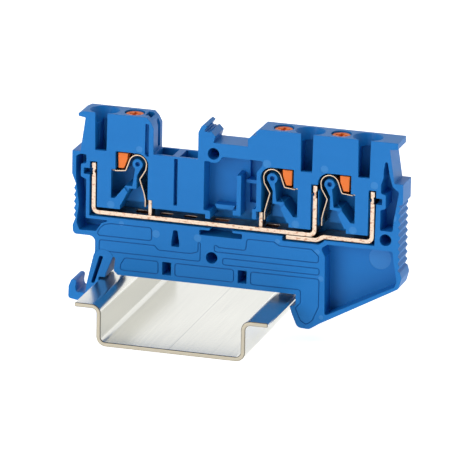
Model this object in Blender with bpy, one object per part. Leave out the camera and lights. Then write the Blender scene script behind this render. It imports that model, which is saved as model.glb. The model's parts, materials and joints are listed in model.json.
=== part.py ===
"""Push-in feed-through terminal block, one conductor on the left and two on the right,
clipped on a short length of 35 x 7.5 mm top-hat rail.

World frame: metres, +Z up, +X along the block's length, +Y towards its closed back wall.
The origin lies on the underside of the rail's web, on the rail's centreline, level with
the middle of the block's thickness. The open front side looks towards -Y.
"""

import math
from dataclasses import dataclass

import bmesh
import bpy
from mathutils import Vector

MM = 0.001

# Rail (EN 60715 top-hat section, 35 mm wide and 7.5 mm high)
RAIL_WIDTH = 35.0 * MM
RAIL_CHANNEL = 27.0 * MM
RAIL_HEIGHT = 7.5 * MM
RAIL_SHEET = 0.8 * MM
RAIL_BEND = 1.3 * MM
RAIL_FRONT_OVERHANG = 14.6 * MM
RAIL_BACK_OVERHANG = 25.2 * MM

# Block, overall
THICKNESS = 5.2 * MM
LEFT_OVERHANG = 5.45 * MM
RIGHT_OVERHANG = 19.6 * MM
TOP_Z = 37.7 * MM
FOOT_CLEARANCE = 0.95 * MM
BACK_WALL = 0.6 * MM
SKIN = 0.7 * MM
GAP = 0.3 * MM
SLIP = 0.2 * MM

# Heights of the block's steps, measured down from its top
LIP_DROP = 1.15 * MM
LEDGE_DROP = 7.3 * MM
BRIDGE_DECK_DROP = 6.55 * MM
MARKER_DECK_DROP = 3.3 * MM
BOSS_DROP = 8.73 * MM
LEG_TIP_DROP = 9.25 * MM

# Current bar
BAR_SHEET = 0.75 * MM
BAR_BEND = 0.9 * MM
BAR_BELOW_BOSS = 9.85 * MM
BAR_FRONT = 0.3 * MM
BAR_WIDTH = 3.8 * MM
TAB_HEIGHT = 2.6 * MM
LINK_LAP = 5.1 * MM
LUG_SHEET = 0.65 * MM

# Clamping units, measured from the spring's boss
LEFT_BOSS_INSET = 11.9 * MM
RIGHT_BOSS_INSET = 13.3 * MM
UNIT_PITCH = 10.35 * MM
BOSS_RADIUS = 0.95 * MM
BOSS_HOLE = 0.43 * MM
BOSS_HOLE_DEPTH = 1.2 * MM
SPRING_RADIUS = 1.6 * MM
SPRING_SHEET = 0.28 * MM
SPRING_BEND = 0.35 * MM
SPRING_FRONT = 0.45 * MM
SPRING_WIDTH = 3.7 * MM
SPRING_ROOM = 0.31 * MM
CHAMBER_WALL = 4.7 * MM
CHAMBER_FLOOR = 6.5 * MM
HEAD_OFFSET = 1.3 * MM
HEAD_RADIUS = 1.6 * MM
HEAD_SUNK = 0.25 * MM
HEAD_BACKING = 0.25 * MM
HEAD_HEIGHT = 3.4 * MM
BUTTON_TRAVEL = 1.3 * MM
NECK_FAR = 2.5 * MM
NECK_HALF = 1.0 * MM
FOOT_ROOM = 0.06 * MM
FOOT_FAR = 3.6 * MM
FOOT_TOP = 1.75 * MM
FOOT_BOTTOM = -1.0 * MM
WIRE_DEPTH = 2.25 * MM
FUNNEL_RADIUS = 2.7 * MM
FUNNEL_DEPTH_RADIUS = 2.35 * MM
FUNNEL_CONE = 2.4 * MM
FUNNEL_SLIT = 2.15 * MM
FUNNEL_SLIT_DROP = 6.8 * MM

# Front pockets
POCKET_DEPTH = 4.0 * MM
BAR_POCKET_DEPTH = 4.4 * MM
PIN_HOLE_RADIUS = 1.05 * MM
PIN_X = 2.83 * MM

# Marker groove, bridge shafts and lower body
MARKER_LEFT = 0.0 * MM
MARKER_STEP = 9.0 * MM
BRIDGE_SHAFTS = ((-7.75 * MM, -4.75 * MM), (-3.4 * MM, -0.35 * MM))

# Rail latch, its pivot measured from the rail's edge and from the body's underside
LATCH_PIVOT_INSET = 0.5 * MM
LATCH_PIVOT_RISE = 2.45 * MM
LATCH_HEAD_RADIUS = 1.8 * MM

# Places that follow from the sizes above
RAIL_EDGE = RAIL_WIDTH / 2
LEFT_REACH = RAIL_EDGE + LEFT_OVERHANG
RIGHT_REACH = RAIL_EDGE + RIGHT_OVERHANG
FRONT_Y = -THICKNESS / 2
BACK_Y = THICKNESS / 2
BODY_BOTTOM = RAIL_HEIGHT + FOOT_CLEARANCE
NOSE_Z = RAIL_HEIGHT - RAIL_SHEET - GAP
LATCH_PIVOT_X = -RAIL_EDGE + LATCH_PIVOT_INSET
LATCH_PIVOT_Z = BODY_BOTTOM + LATCH_PIVOT_RISE
SKIRT_Z = BODY_BOTTOM + 6.7 * MM
CORNER_Z = BODY_BOTTOM + 4.9 * MM
BOSS_Z = TOP_Z - BOSS_DROP
LEDGE_Z = TOP_Z - LEDGE_DROP
DECK_Z = TOP_Z - BRIDGE_DECK_DROP
MARKER_Z = TOP_Z - MARKER_DECK_DROP
BAR_Z = BOSS_Z - BAR_BELOW_BOSS
LEG_TOP = TOP_Z - LEG_TIP_DROP
HEAD_DEPTH = THICKNESS - BACK_WALL - SLIP - HEAD_RADIUS - HEAD_BACKING
CHAMBER_RADIUS = SPRING_RADIUS + SPRING_SHEET / 2 + SPRING_ROOM
FOOT_NEAR = SPRING_RADIUS + SPRING_SHEET / 2 + FOOT_ROOM
NECK_NEAR = FOOT_NEAR


@dataclass(frozen=True)
class Unit:
    """One push-in clamping point.

    Side is -1 where the wire enters left of the boss. Funnel, leg and tab are the
    distances from the boss to the wire funnel, to the bar's leg and to the bar's lug.
    """

    name: str
    boss_x: float
    side: int
    funnel: float
    leg: float
    tab: float

    def at(self, outward, up):
        """The (x, z) of a point given outward from the boss towards the wire, and up."""
        return (self.boss_x + self.side * outward, BOSS_Z + up)

    def path(self, points):
        """The same for a list of points, given in millimetres."""
        return [self.at(outward * MM, up * MM) for outward, up in points]


LEFT = Unit("left", -LEFT_REACH + LEFT_BOSS_INSET, -1, 6.65 * MM, 7.95 * MM, 1.9 * MM)
RIGHT = Unit("right", RIGHT_REACH - RIGHT_BOSS_INSET, 1, 6.2 * MM, 7.8 * MM, 1.75 * MM)
MIDDLE = Unit("middle", RIGHT.boss_x - UNIT_PITCH, 1, RIGHT.funnel, RIGHT.leg, RIGHT.tab)
UNITS = (LEFT, MIDDLE, RIGHT)


# ---------------------------------------------------------------- geometry helpers


def arc(centre, radius, start, end, steps):
    """Points on a circle from start to end degrees, 0 pointing to +X and 90 to +Z."""
    turns = [math.radians(start + (end - start) * i / steps) for i in range(steps + 1)]
    return [(centre[0] + radius * math.cos(t), centre[1] + radius * math.sin(t)) for t in turns]


def rounded(points, radius, closed=True, steps=4):
    """The same path with every corner replaced by an arc of up to the given radius."""
    count = len(points)
    out = []
    for i, here in enumerate(points):
        if not closed and i in (0, count - 1):
            out.append(here)
            continue
        corner = Vector(here)
        before = Vector(points[i - 1]) - corner
        after = Vector(points[(i + 1) % count]) - corner
        half = before.angle(after) / 2
        if half > math.radians(86) or before.length < 1e-6 or after.length < 1e-6:
            out.append(here)
            continue
        reach = min(radius / math.tan(half), 0.45 * before.length, 0.45 * after.length)
        used = reach * math.tan(half)
        middle = corner + (before.normalized() + after.normalized()).normalized() * used / math.sin(half)
        first = corner + before.normalized() * reach - middle
        last = corner + after.normalized() * reach - middle
        swing = math.atan2(first.x * last.y - first.y * last.x, first.dot(last))
        for k in range(steps + 1):
            turn = swing * k / steps
            out.append((
                middle.x + first.x * math.cos(turn) - first.y * math.sin(turn),
                middle.y + first.x * math.sin(turn) + first.y * math.cos(turn),
            ))
    return out


def strip(path, sheet, bend, steps=4):
    """The outline of a sheet-metal strip whose middle line follows the path."""
    line = [Vector(p) for p in rounded(path, bend, closed=False, steps=steps)]
    left = []
    right = []
    for i, here in enumerate(line):
        before = here - line[i - 1] if i else line[1] - here
        after = line[i + 1] - here if i < len(line) - 1 else before
        along = (before.normalized() + after.normalized()).normalized()
        across = Vector((-along.y, along.x))
        width = sheet / 2 / max(0.3, math.cos(before.angle(after) / 2))
        left.append(tuple(here + across * width))
        right.append(tuple(here - across * width))
    return left + right[::-1]


def deep(distance):
    """The y of a plane at this depth behind the block's open front."""
    return FRONT_Y + distance


def prism(name, outline, near, far):
    """A closed prism: the (x, z) outline carried from y = near to y = far."""
    mesh = bpy.data.meshes.new(name)
    solid = bmesh.new()
    ring = [solid.verts.new((x, near, z)) for x, z in outline]
    face = solid.faces.new(ring)
    pushed = bmesh.ops.extrude_face_region(solid, geom=[face])
    moved = [item for item in pushed["geom"] if isinstance(item, bmesh.types.BMVert)]
    bmesh.ops.translate(solid, vec=(0, far - near, 0), verts=moved)
    bmesh.ops.recalc_face_normals(solid, faces=solid.faces)
    solid.to_mesh(mesh)
    solid.free()
    thing = bpy.data.objects.new(name, mesh)
    bpy.context.collection.objects.link(thing)
    return thing


def box(name, xs, ys, zs):
    """A closed box between three pairs of limits."""
    outline = [(xs[0], zs[0]), (xs[1], zs[0]), (xs[1], zs[1]), (xs[0], zs[1])]
    return prism(name, outline, ys[0], ys[1])


def upright(name, centre, radii_low, radii_high, low, high, segments=32):
    """An upright elliptical cone or cylinder; each radii pair is along X and Y."""
    mesh = bpy.data.meshes.new(name)
    solid = bmesh.new()
    rings = []
    for radii, z in ((radii_low, low), (radii_high, high)):
        ring = []
        for i in range(segments):
            turn = math.tau * i / segments
            place = (centre[0] + radii[0] * math.cos(turn), centre[1] + radii[1] * math.sin(turn), z)
            ring.append(solid.verts.new(place))
        rings.append(ring)
    solid.faces.new(rings[0][::-1])
    solid.faces.new(rings[1])
    sides = []
    for i in range(segments):
        j = (i + 1) % segments
        sides.append(solid.faces.new((rings[0][i], rings[0][j], rings[1][j], rings[1][i])))
    if radii_low != radii_high:
        bmesh.ops.triangulate(solid, faces=sides)
    bmesh.ops.recalc_face_normals(solid, faces=solid.faces)
    solid.to_mesh(mesh)
    solid.free()
    thing = bpy.data.objects.new(name, mesh)
    bpy.context.collection.objects.link(thing)
    return thing


def combine(body, tool, operation):
    """Adds a Boolean to the body and turns the tool into a hidden helper."""
    modifier = body.modifiers.new(tool.name, "BOOLEAN")
    modifier.operation = operation
    modifier.solver = "EXACT"
    modifier.object = tool
    tool.hide_render = True
    tool.display_type = "WIRE"
    tool.parent = body
    tool.matrix_parent_inverse = body.matrix_world.inverted()


def cut(body, tool):
    combine(body, tool, "DIFFERENCE")


def add(body, tool):
    combine(body, tool, "UNION")


def pivot_at(thing, place):
    """Moves the object's origin to a point without moving its surface."""
    point = Vector(place)
    for vertex in thing.data.vertices:
        vertex.co -= point
    thing.location = point
    bpy.context.view_layer.update()


def material(name, colour, roughness, metallic=0.0):
    """A Principled surface of one colour."""
    made = bpy.data.materials.new(name)
    made.use_nodes = True
    shader = made.node_tree.nodes["Principled BSDF"]
    shader.inputs["Base Color"].default_value = (*colour, 1.0)
    shader.inputs["Roughness"].default_value = roughness
    shader.inputs["Metallic"].default_value = metallic
    made.diffuse_color = (*colour, 1.0)
    return made


def finish(thing, look):
    """Gives the object its own copy of a material and smooth shading with sharp edges."""
    own = look.copy()
    own.name = look.name + "_" + thing.name
    thing.data.materials.clear()
    thing.data.materials.append(own)
    thing.data.shade_smooth()
    thing.data.set_sharp_from_angle(angle=math.radians(30))


# ---------------------------------------------------------------- rail


def build_rail(look):
    """The top-hat rail, bent from one sheet."""
    half = RAIL_SHEET / 2
    wall_x = RAIL_CHANNEL / 2 - half
    flange_z = RAIL_HEIGHT - half
    path = [
        (-RAIL_WIDTH / 2, flange_z),
        (-wall_x, flange_z),
        (-wall_x, half),
        (wall_x, half),
        (wall_x, flange_z),
        (RAIL_WIDTH / 2, flange_z),
    ]
    near = FRONT_Y - RAIL_FRONT_OVERHANG
    far = BACK_Y + RAIL_BACK_OVERHANG
    rail = prism("din_rail", strip(path, RAIL_SHEET, RAIL_BEND, steps=7), near, far)
    finish(rail, look)


# ---------------------------------------------------------------- housing


def grip(x_from, z_from, x_to, z_to, teeth, depth, side):
    """Saw teeth between two points, standing out towards side on the X axis."""
    points = []
    for i in range(teeth):
        low = i / teeth
        high = (i + 0.62) / teeth
        points.append((x_from + (x_to - x_from) * low, z_from + (z_to - z_from) * low))
        tip = x_from + (x_to - x_from) * high + side * depth
        points.append((tip, z_from + (z_to - z_from) * high))
    points.append((x_to, z_to))
    return points


def latch_socket():
    """The rounded hollow above the latch, from the block's left edge to its slot."""
    centre = (LATCH_PIVOT_X, LATCH_PIVOT_Z)
    radius = LATCH_HEAD_RADIUS + SLIP
    return arc(centre, radius, 158, 22, 8)


def housing_outline():
    """The block's silhouette seen from the front, starting at the top left corner."""
    left = -LEFT_REACH
    right = RIGHT_REACH
    top = TOP_Z
    grip_x = left + 0.75 * MM
    skirt = SKIRT_Z
    left_side = [
        (left + 1.95 * MM, top),
        (left + 1.05 * MM, top - 0.45 * MM),
        (left + 1.1 * MM, top - 0.95 * MM),
        (left + 2.35 * MM, top - LIP_DROP),
        (left + 1.5 * MM, LEDGE_Z),
        (left, LEDGE_Z),
        (left, LEDGE_Z - 4.2 * MM),
    ]
    left_side += grip(grip_x, LEDGE_Z - 6.1 * MM, grip_x, skirt + 3.0 * MM, 5, 0.35 * MM, -1)
    left_side += rounded([
        (left + 0.7 * MM, skirt + 2.9 * MM),
        (left + 0.2 * MM, skirt + 1.6 * MM),
        (left + 0.3 * MM, skirt),
        (LATCH_PIVOT_X - 1.55 * MM, skirt),
        (LATCH_PIVOT_X - 1.55 * MM, skirt - 2.4 * MM),
        (LATCH_PIVOT_X - 1.62 * MM, LATCH_PIVOT_Z + 0.95 * MM),
    ], 1.1 * MM, closed=False)
    below = latch_socket()
    below += [
        (LATCH_PIVOT_X + 2.2 * MM, LATCH_PIVOT_Z + 0.6 * MM),
        (LATCH_PIVOT_X + 1.95 * MM, BODY_BOTTOM + 0.7 * MM),
        (LATCH_PIVOT_X + 2.7 * MM, BODY_BOTTOM),
    ]
    hook_wall = RAIL_EDGE + 0.7 * MM
    hook = [
        (hook_wall, BODY_BOTTOM),
        (hook_wall, NOSE_Z + 0.35 * MM),
        (RAIL_EDGE + 0.4 * MM, NOSE_Z),
        (RAIL_EDGE - 0.35 * MM, NOSE_Z - 0.2 * MM),
        (RAIL_EDGE + 0.05 * MM, NOSE_Z - 1.5 * MM),
    ]
    hook += rounded([
        (RAIL_EDGE + 0.5 * MM, BODY_BOTTOM - 4.6 * MM),
        (RAIL_EDGE + 1.1 * MM, BODY_BOTTOM - 6.0 * MM),
        (RAIL_EDGE + 3.3 * MM, BODY_BOTTOM - 6.1 * MM),
        (RAIL_EDGE + 5.1 * MM, BODY_BOTTOM - 4.9 * MM),
    ], 1.2 * MM, closed=False)
    toe = rounded([
        (right - 1.6 * MM, CORNER_Z - 2.6 * MM),
        (right - 0.4 * MM, CORNER_Z - 1.9 * MM),
        (right + 0.1 * MM, CORNER_Z),
        (right - 0.2 * MM, CORNER_Z + 1.1 * MM),
    ], 0.8 * MM, closed=False)
    grip_low = (right - 0.65 * MM, CORNER_Z + 1.4 * MM)
    grip_high = (right - 0.75 * MM, LEDGE_Z - 3.9 * MM)
    right_side = grip(*grip_low, *grip_high, 9, 0.4 * MM, 1)
    right_side += [
        (right, LEDGE_Z - 3.6 * MM),
        (right, LEDGE_Z),
        (right - 1.6 * MM, LEDGE_Z),
        (right - 2.55 * MM, top - LIP_DROP - 0.15 * MM),
        (right - 1.1 * MM, top - LIP_DROP),
        (right - 1.1 * MM, top),
    ]
    step = MARKER_STEP
    marker = [
        (step + (top - MARKER_Z) - 1.3 * MM, top),
        (step + 1.35 * MM, top - 0.65 * MM),
        (step + 1.5 * MM, top - 1.1 * MM),
        (step + 1.05 * MM, top - 1.25 * MM),
        (step + 0.85 * MM, top - 1.15 * MM),
        (step, top - 2.0 * MM),
        (step, MARKER_Z),
        (MARKER_LEFT + 2.75 * MM, MARKER_Z),
        (MARKER_LEFT + 3.1 * MM, MARKER_Z + 1.2 * MM),
        (MARKER_LEFT + 2.35 * MM, MARKER_Z + 2.0 * MM),
        (MARKER_LEFT + 1.75 * MM, MARKER_Z + 1.75 * MM),
    ]
    marker += arc((MARKER_LEFT + 1.4 * MM, MARKER_Z + 2.15 * MM), 0.3 * MM, -40, -160, 4)
    marker += [
        (MARKER_LEFT + 1.6 * MM, MARKER_Z + 2.85 * MM),
        (MARKER_LEFT + 1.05 * MM, MARKER_Z + 3.2 * MM),
        (MARKER_LEFT + 0.5 * MM, MARKER_Z + 2.7 * MM),
        (MARKER_LEFT, MARKER_Z + 1.6 * MM),
        (MARKER_LEFT, DECK_Z),
    ]
    deck = [
        (LEFT.boss_x + 2.95 * MM, DECK_Z),
        (LEFT.boss_x + 2.95 * MM, top - 1.9 * MM),
        (LEFT.boss_x + 2.4 * MM, top - 0.8 * MM),
        (LEFT.boss_x + 1.6 * MM, top),
    ]
    return left_side + below + hook + toe + right_side + marker + deck


def unit_arc(unit, radius, start, end, steps):
    """Points round the boss at a radius, in degrees from outward over the top."""
    turns = [math.radians(start + (end - start) * i / steps) for i in range(steps + 1)]
    return [unit.at(radius * math.cos(t), radius * math.sin(t)) for t in turns]


def chamber_outline(unit):
    """The front opening of one clamping unit: button window, spring room and bar room."""
    near_wall = -(unit.tab / MM + 0.1)
    window_x = FOOT_FAR / MM + 0.35
    window_top = FOOT_TOP / MM + 0.3
    outline = unit.path([(window_x, window_top), (0.6, window_top)])
    outline += unit_arc(unit, CHAMBER_RADIUS, 75, 185, 11)
    wall = CHAMBER_WALL / MM
    floor = -CHAMBER_FLOOR / MM
    foot = (BAR_Z + BAR_SHEET + 1.4 * MM - BOSS_Z) / MM
    outline += unit.path([
        (near_wall, -1.2),
        (near_wall, foot),
        (2.9, foot),
        (1.65, -5.2),
        (2.3, -4.35),
        (4.0, floor),
        (wall, floor),
        (wall, -1.25),
        (window_x, -1.25),
    ])
    return outline


def unit_island(unit):
    """The boss with its arm, elbow and slanted rib, standing inside the chamber."""
    boss = unit_arc(unit, BOSS_RADIUS, -60, 225, 20)
    tail = unit.path([
        (0.12, -2.2),
        (0.12, -4.55),
        (1.35, -4.55),
        (3.3, -8.4),
        (4.4, -8.4),
        (4.4, -7.4),
        (2.15, -4.1),
        (0.82, -4.1),
    ])
    return boss + tail


def build_clamp_room(housing, unit):
    """Cuts the funnel, the button well and the spring chamber of one unit."""
    name = "cut_" + unit.name
    deep_wall = deep(THICKNESS - BACK_WALL)
    cut(housing, prism(name + "_chamber", chamber_outline(unit), deep(-GAP), deep_wall))
    low = BOSS_Z - CHAMBER_FLOOR
    high = TOP_Z - FUNNEL_CONE + GAP
    side_a = unit.at(CHAMBER_WALL - 0.1 * MM, 0)[0]
    side_b = unit.at(unit.leg - BAR_SHEET / 2, 0)[0]
    cut(housing, box(name + "_shaft", sorted((side_a, side_b)), (deep(SKIN), deep_wall), (low, high)))

    funnel_x = unit.at(unit.funnel, 0)[0]
    middle_y = deep(WIRE_DEPTH)
    radii_low = (FUNNEL_SLIT / 2 + 0.2 * MM, FUNNEL_DEPTH_RADIUS - 0.55 * MM)
    above = 1 + GAP / FUNNEL_CONE
    radii_top = (
        radii_low[0] + (FUNNEL_RADIUS - radii_low[0]) * above,
        radii_low[1] + (FUNNEL_DEPTH_RADIUS - radii_low[1]) * above,
    )
    cut(housing, upright(name + "_funnel", (funnel_x, middle_y), radii_low, radii_top,
                         TOP_Z - FUNNEL_CONE, TOP_Z + GAP))
    half = FUNNEL_SLIT / 2
    slit = [
        (funnel_x - half * 1.05, TOP_Z + 1 * MM),
        (funnel_x + half * 1.05, TOP_Z + 1 * MM),
        (funnel_x + half * 0.95, TOP_Z - FUNNEL_SLIT_DROP),
        (funnel_x - half * 0.95, TOP_Z - FUNNEL_SLIT_DROP),
    ]
    cut(housing, prism(name + "_slit", slit, deep(-1 * MM), middle_y))

    head_x = unit.at(HEAD_OFFSET, 0)[0]
    well = HEAD_RADIUS + SLIP
    centre = (head_x, deep(HEAD_DEPTH))
    stop = TOP_Z - HEAD_SUNK - HEAD_HEIGHT - BUTTON_TRAVEL - GAP
    cut(housing, upright(name + "_well", centre, (well, well), (well, well), stop, TOP_Z + 1 * MM))
    guide_a = unit.at(NECK_NEAR - SLIP, 0)[0]
    guide_b = unit.at(NECK_FAR + SLIP, 0)[0]
    cut(housing, box(name + "_guide", sorted((guide_a, guide_b)), (deep(SKIN), deep_wall),
                     (BOSS_Z + FOOT_TOP - 0.5 * MM, stop + 0.3 * MM)))
    add(housing, prism("island_" + unit.name, unit_island(unit), deep(GAP), deep_wall + 0.1 * MM))
    hole = arc((unit.boss_x, BOSS_Z), BOSS_HOLE, 0, 330, 11)
    cut(housing, prism(name + "_boss_hole", hole, deep(-GAP), deep(BOSS_HOLE_DEPTH)))
    floor = unit.path([(1.0, -4.3), (3.3, -8.4), (-0.8, -8.4), (-0.55, -6.2), (0.2, -4.5)])
    add(housing, prism("floor_" + unit.name, floor, deep(3.1 * MM), deep_wall + 0.1 * MM))


def build_bar_channels(housing):
    """The channels that hold the two current bars."""
    near = deep(-GAP)
    far = deep(BAR_POCKET_DEPTH)
    low = BAR_Z - GAP
    left_leg = LEFT.at(LEFT.leg, 0)[0]
    right_leg = RIGHT.at(RIGHT.leg, 0)[0]
    reach = BAR_SHEET / 2 + GAP
    tip = LEG_TOP + GAP
    cut(housing, box("cut_bar_channel", (left_leg - reach, right_leg + reach), (near, far),
                     (low, BAR_Z + BAR_SHEET + 0.65 * MM)))
    link_left = MIDDLE.at(MIDDLE.leg - LINK_LAP, 0)[0] - 2 * GAP
    link_right = MIDDLE.at(MIDDLE.leg, 0)[0] + 2.3 * MM
    under = rounded([
        (link_left, low + 0.1 * MM),
        (link_left, low - BAR_SHEET - 0.1 * MM),
        (link_right - 1.4 * MM, low - BAR_SHEET - 0.1 * MM),
        (link_right, low + 0.1 * MM),
    ], 0.2 * MM)
    cut(housing, prism("cut_link_channel", under, near, far))
    for unit in UNITS:
        leg_x = unit.at(unit.leg, 0)[0]
        cut(housing, box("cut_leg_" + unit.name, (leg_x - reach, leg_x + reach), (near, far),
                         (BAR_Z, tip)))
    open_top = BAR_Z + BAR_SHEET + 1.45 * MM
    floor_z = BAR_Z + BAR_SHEET + 0.6 * MM
    rooms = (
        (LEFT.boss_x - 3.0 * MM, 1.5 * MM),
        (2.4 * MM, MIDDLE.boss_x + 3.2 * MM),
        (MIDDLE.at(MIDDLE.leg, 0)[0] + 0.3 * MM, RIGHT.boss_x + 3.2 * MM),
    )
    for i, (start, end) in enumerate(rooms):
        cut(housing, box(f"cut_bar_room_{i}", (start, end), (near, far), (floor_z, open_top)))
    for unit in (LEFT, MIDDLE):
        notch = sorted((unit.at(-unit.tab, 0)[0], unit.at(-unit.tab - LUG_SHEET - GAP, 0)[0]))
        cut(housing, box("cut_lug_" + unit.name, notch, (near, deep(3.6 * MM)),
                         (floor_z, BAR_Z + BAR_SHEET + TAB_HEIGHT + GAP)))


def build_left_pockets(housing):
    """The channel behind the grip and the recess beside the bar's left tip."""
    left = -LEFT_REACH
    wall = LEFT.at(LEFT.leg, 0)[0] - BAR_SHEET / 2 - GAP - 0.65 * MM
    skirt = SKIRT_Z
    near = deep(-GAP)
    far = deep(POCKET_DEPTH)
    outline = [
        (left + 0.75 * MM, LEDGE_Z - 0.9 * MM),
        (left + 1.5 * MM, LEDGE_Z - 0.5 * MM),
        (wall, LEDGE_Z - 0.5 * MM),
        (wall, LEDGE_Z - 2.1 * MM),
        (wall - 1.0 * MM, LEDGE_Z - 2.3 * MM),
        (wall - 1.0 * MM, LEDGE_Z - 4.6 * MM),
        (wall, LEDGE_Z - 5.0 * MM),
        (wall, BAR_Z - 0.85 * MM),
        (LATCH_PIVOT_X + 1.3 * MM, BAR_Z - 0.85 * MM),
        (LATCH_PIVOT_X - 0.4 * MM, BAR_Z - 1.5 * MM),
        (LATCH_PIVOT_X - 1.4 * MM, skirt + 0.95 * MM),
        (left + 1.5 * MM, skirt + 0.85 * MM),
        (left + 0.95 * MM, skirt + 2.2 * MM),
        (left + 1.35 * MM, skirt + 5.6 * MM),
        (left + 0.75 * MM, LEDGE_Z - 5.0 * MM),
    ]
    cut(housing, prism("cut_left_channel", rounded(outline, 0.3 * MM, steps=3), near, far))
    leg_x = LEFT.at(LEFT.leg, 0)[0]
    cut(housing, box("cut_left_tip", (wall - 0.45 * MM, leg_x), (near, deep(2.2 * MM)),
                     (LEG_TOP - 2.1 * MM, LEG_TOP - 1.0 * MM)))


def build_right_pockets(housing):
    """The spike-shaped pocket, the pin hole and the large triangular toe pocket."""
    right = RIGHT_REACH
    wall = RIGHT.at(RIGHT.leg, 0)[0] + BAR_SHEET / 2 + GAP + 0.75 * MM
    near = deep(-GAP)
    far = deep(POCKET_DEPTH)
    spike_x = wall + 0.95 * MM
    spike = [
        (spike_x - 0.2 * MM, TOP_Z - 3.6 * MM),
        (spike_x + 0.2 * MM, TOP_Z - 3.6 * MM),
        (spike_x + 0.65 * MM, TOP_Z - 6.0 * MM),
        (right - 1.9 * MM, LEDGE_Z - 0.6 * MM),
        (right - 0.75 * MM, LEDGE_Z - 1.5 * MM),
        (right - 1.55 * MM, LEDGE_Z - 6.6 * MM),
        (right - 1.75 * MM, LEDGE_Z - 8.7 * MM),
        (wall + 0.1 * MM, LEDGE_Z - 8.7 * MM),
        (wall + 0.1 * MM, LEDGE_Z - 5.0 * MM),
        (wall + 1.0 * MM, LEDGE_Z - 4.7 * MM),
        (wall + 1.0 * MM, LEDGE_Z - 2.2 * MM),
        (wall + 0.1 * MM, LEDGE_Z - 2.0 * MM),
        (wall + 0.1 * MM, LEDGE_Z - 0.4 * MM),
        (spike_x - 0.45 * MM, LEDGE_Z + 0.9 * MM),
        (spike_x - 0.45 * MM, TOP_Z - 5.2 * MM),
    ]
    cut(housing, prism("cut_spike", rounded(spike, 0.25 * MM, steps=3), near, far))
    leg_x = RIGHT.at(RIGHT.leg, 0)[0]
    cut(housing, box("cut_right_tip", (leg_x, wall + 0.35 * MM), (near, deep(2.2 * MM)),
                     (LEG_TOP - 2.1 * MM, LEG_TOP - 1.0 * MM)))
    pin_hole(housing, "right", (right - 2.95 * MM, BAR_Z + 0.95 * MM))
    toe = [
        (RAIL_EDGE + 6.0 * MM, BODY_BOTTOM - 3.35 * MM),
        (right - 1.1 * MM, CORNER_Z - 1.65 * MM),
        (right - 0.8 * MM, CORNER_Z - 0.6 * MM),
        (right - 1.7 * MM, BAR_Z - 1.0 * MM),
        (RAIL_EDGE + 6.2 * MM, BAR_Z - 1.0 * MM),
        (RAIL_EDGE + 5.15 * MM, BAR_Z - 1.8 * MM),
        (RAIL_EDGE + 5.85 * MM, BAR_Z - 3.3 * MM),
    ]
    cut(housing, prism("cut_toe", rounded(toe, 0.3 * MM, steps=3), near, deep(3.6 * MM)))


def pin_hole(housing, name, place):
    """A round blind hole in the front for the neighbour's locating pin."""
    outline = arc(place, PIN_HOLE_RADIUS, 0, 345, 23)
    cut(housing, prism("cut_pin_" + name, outline, deep(-GAP), deep(4.2 * MM)))


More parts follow.
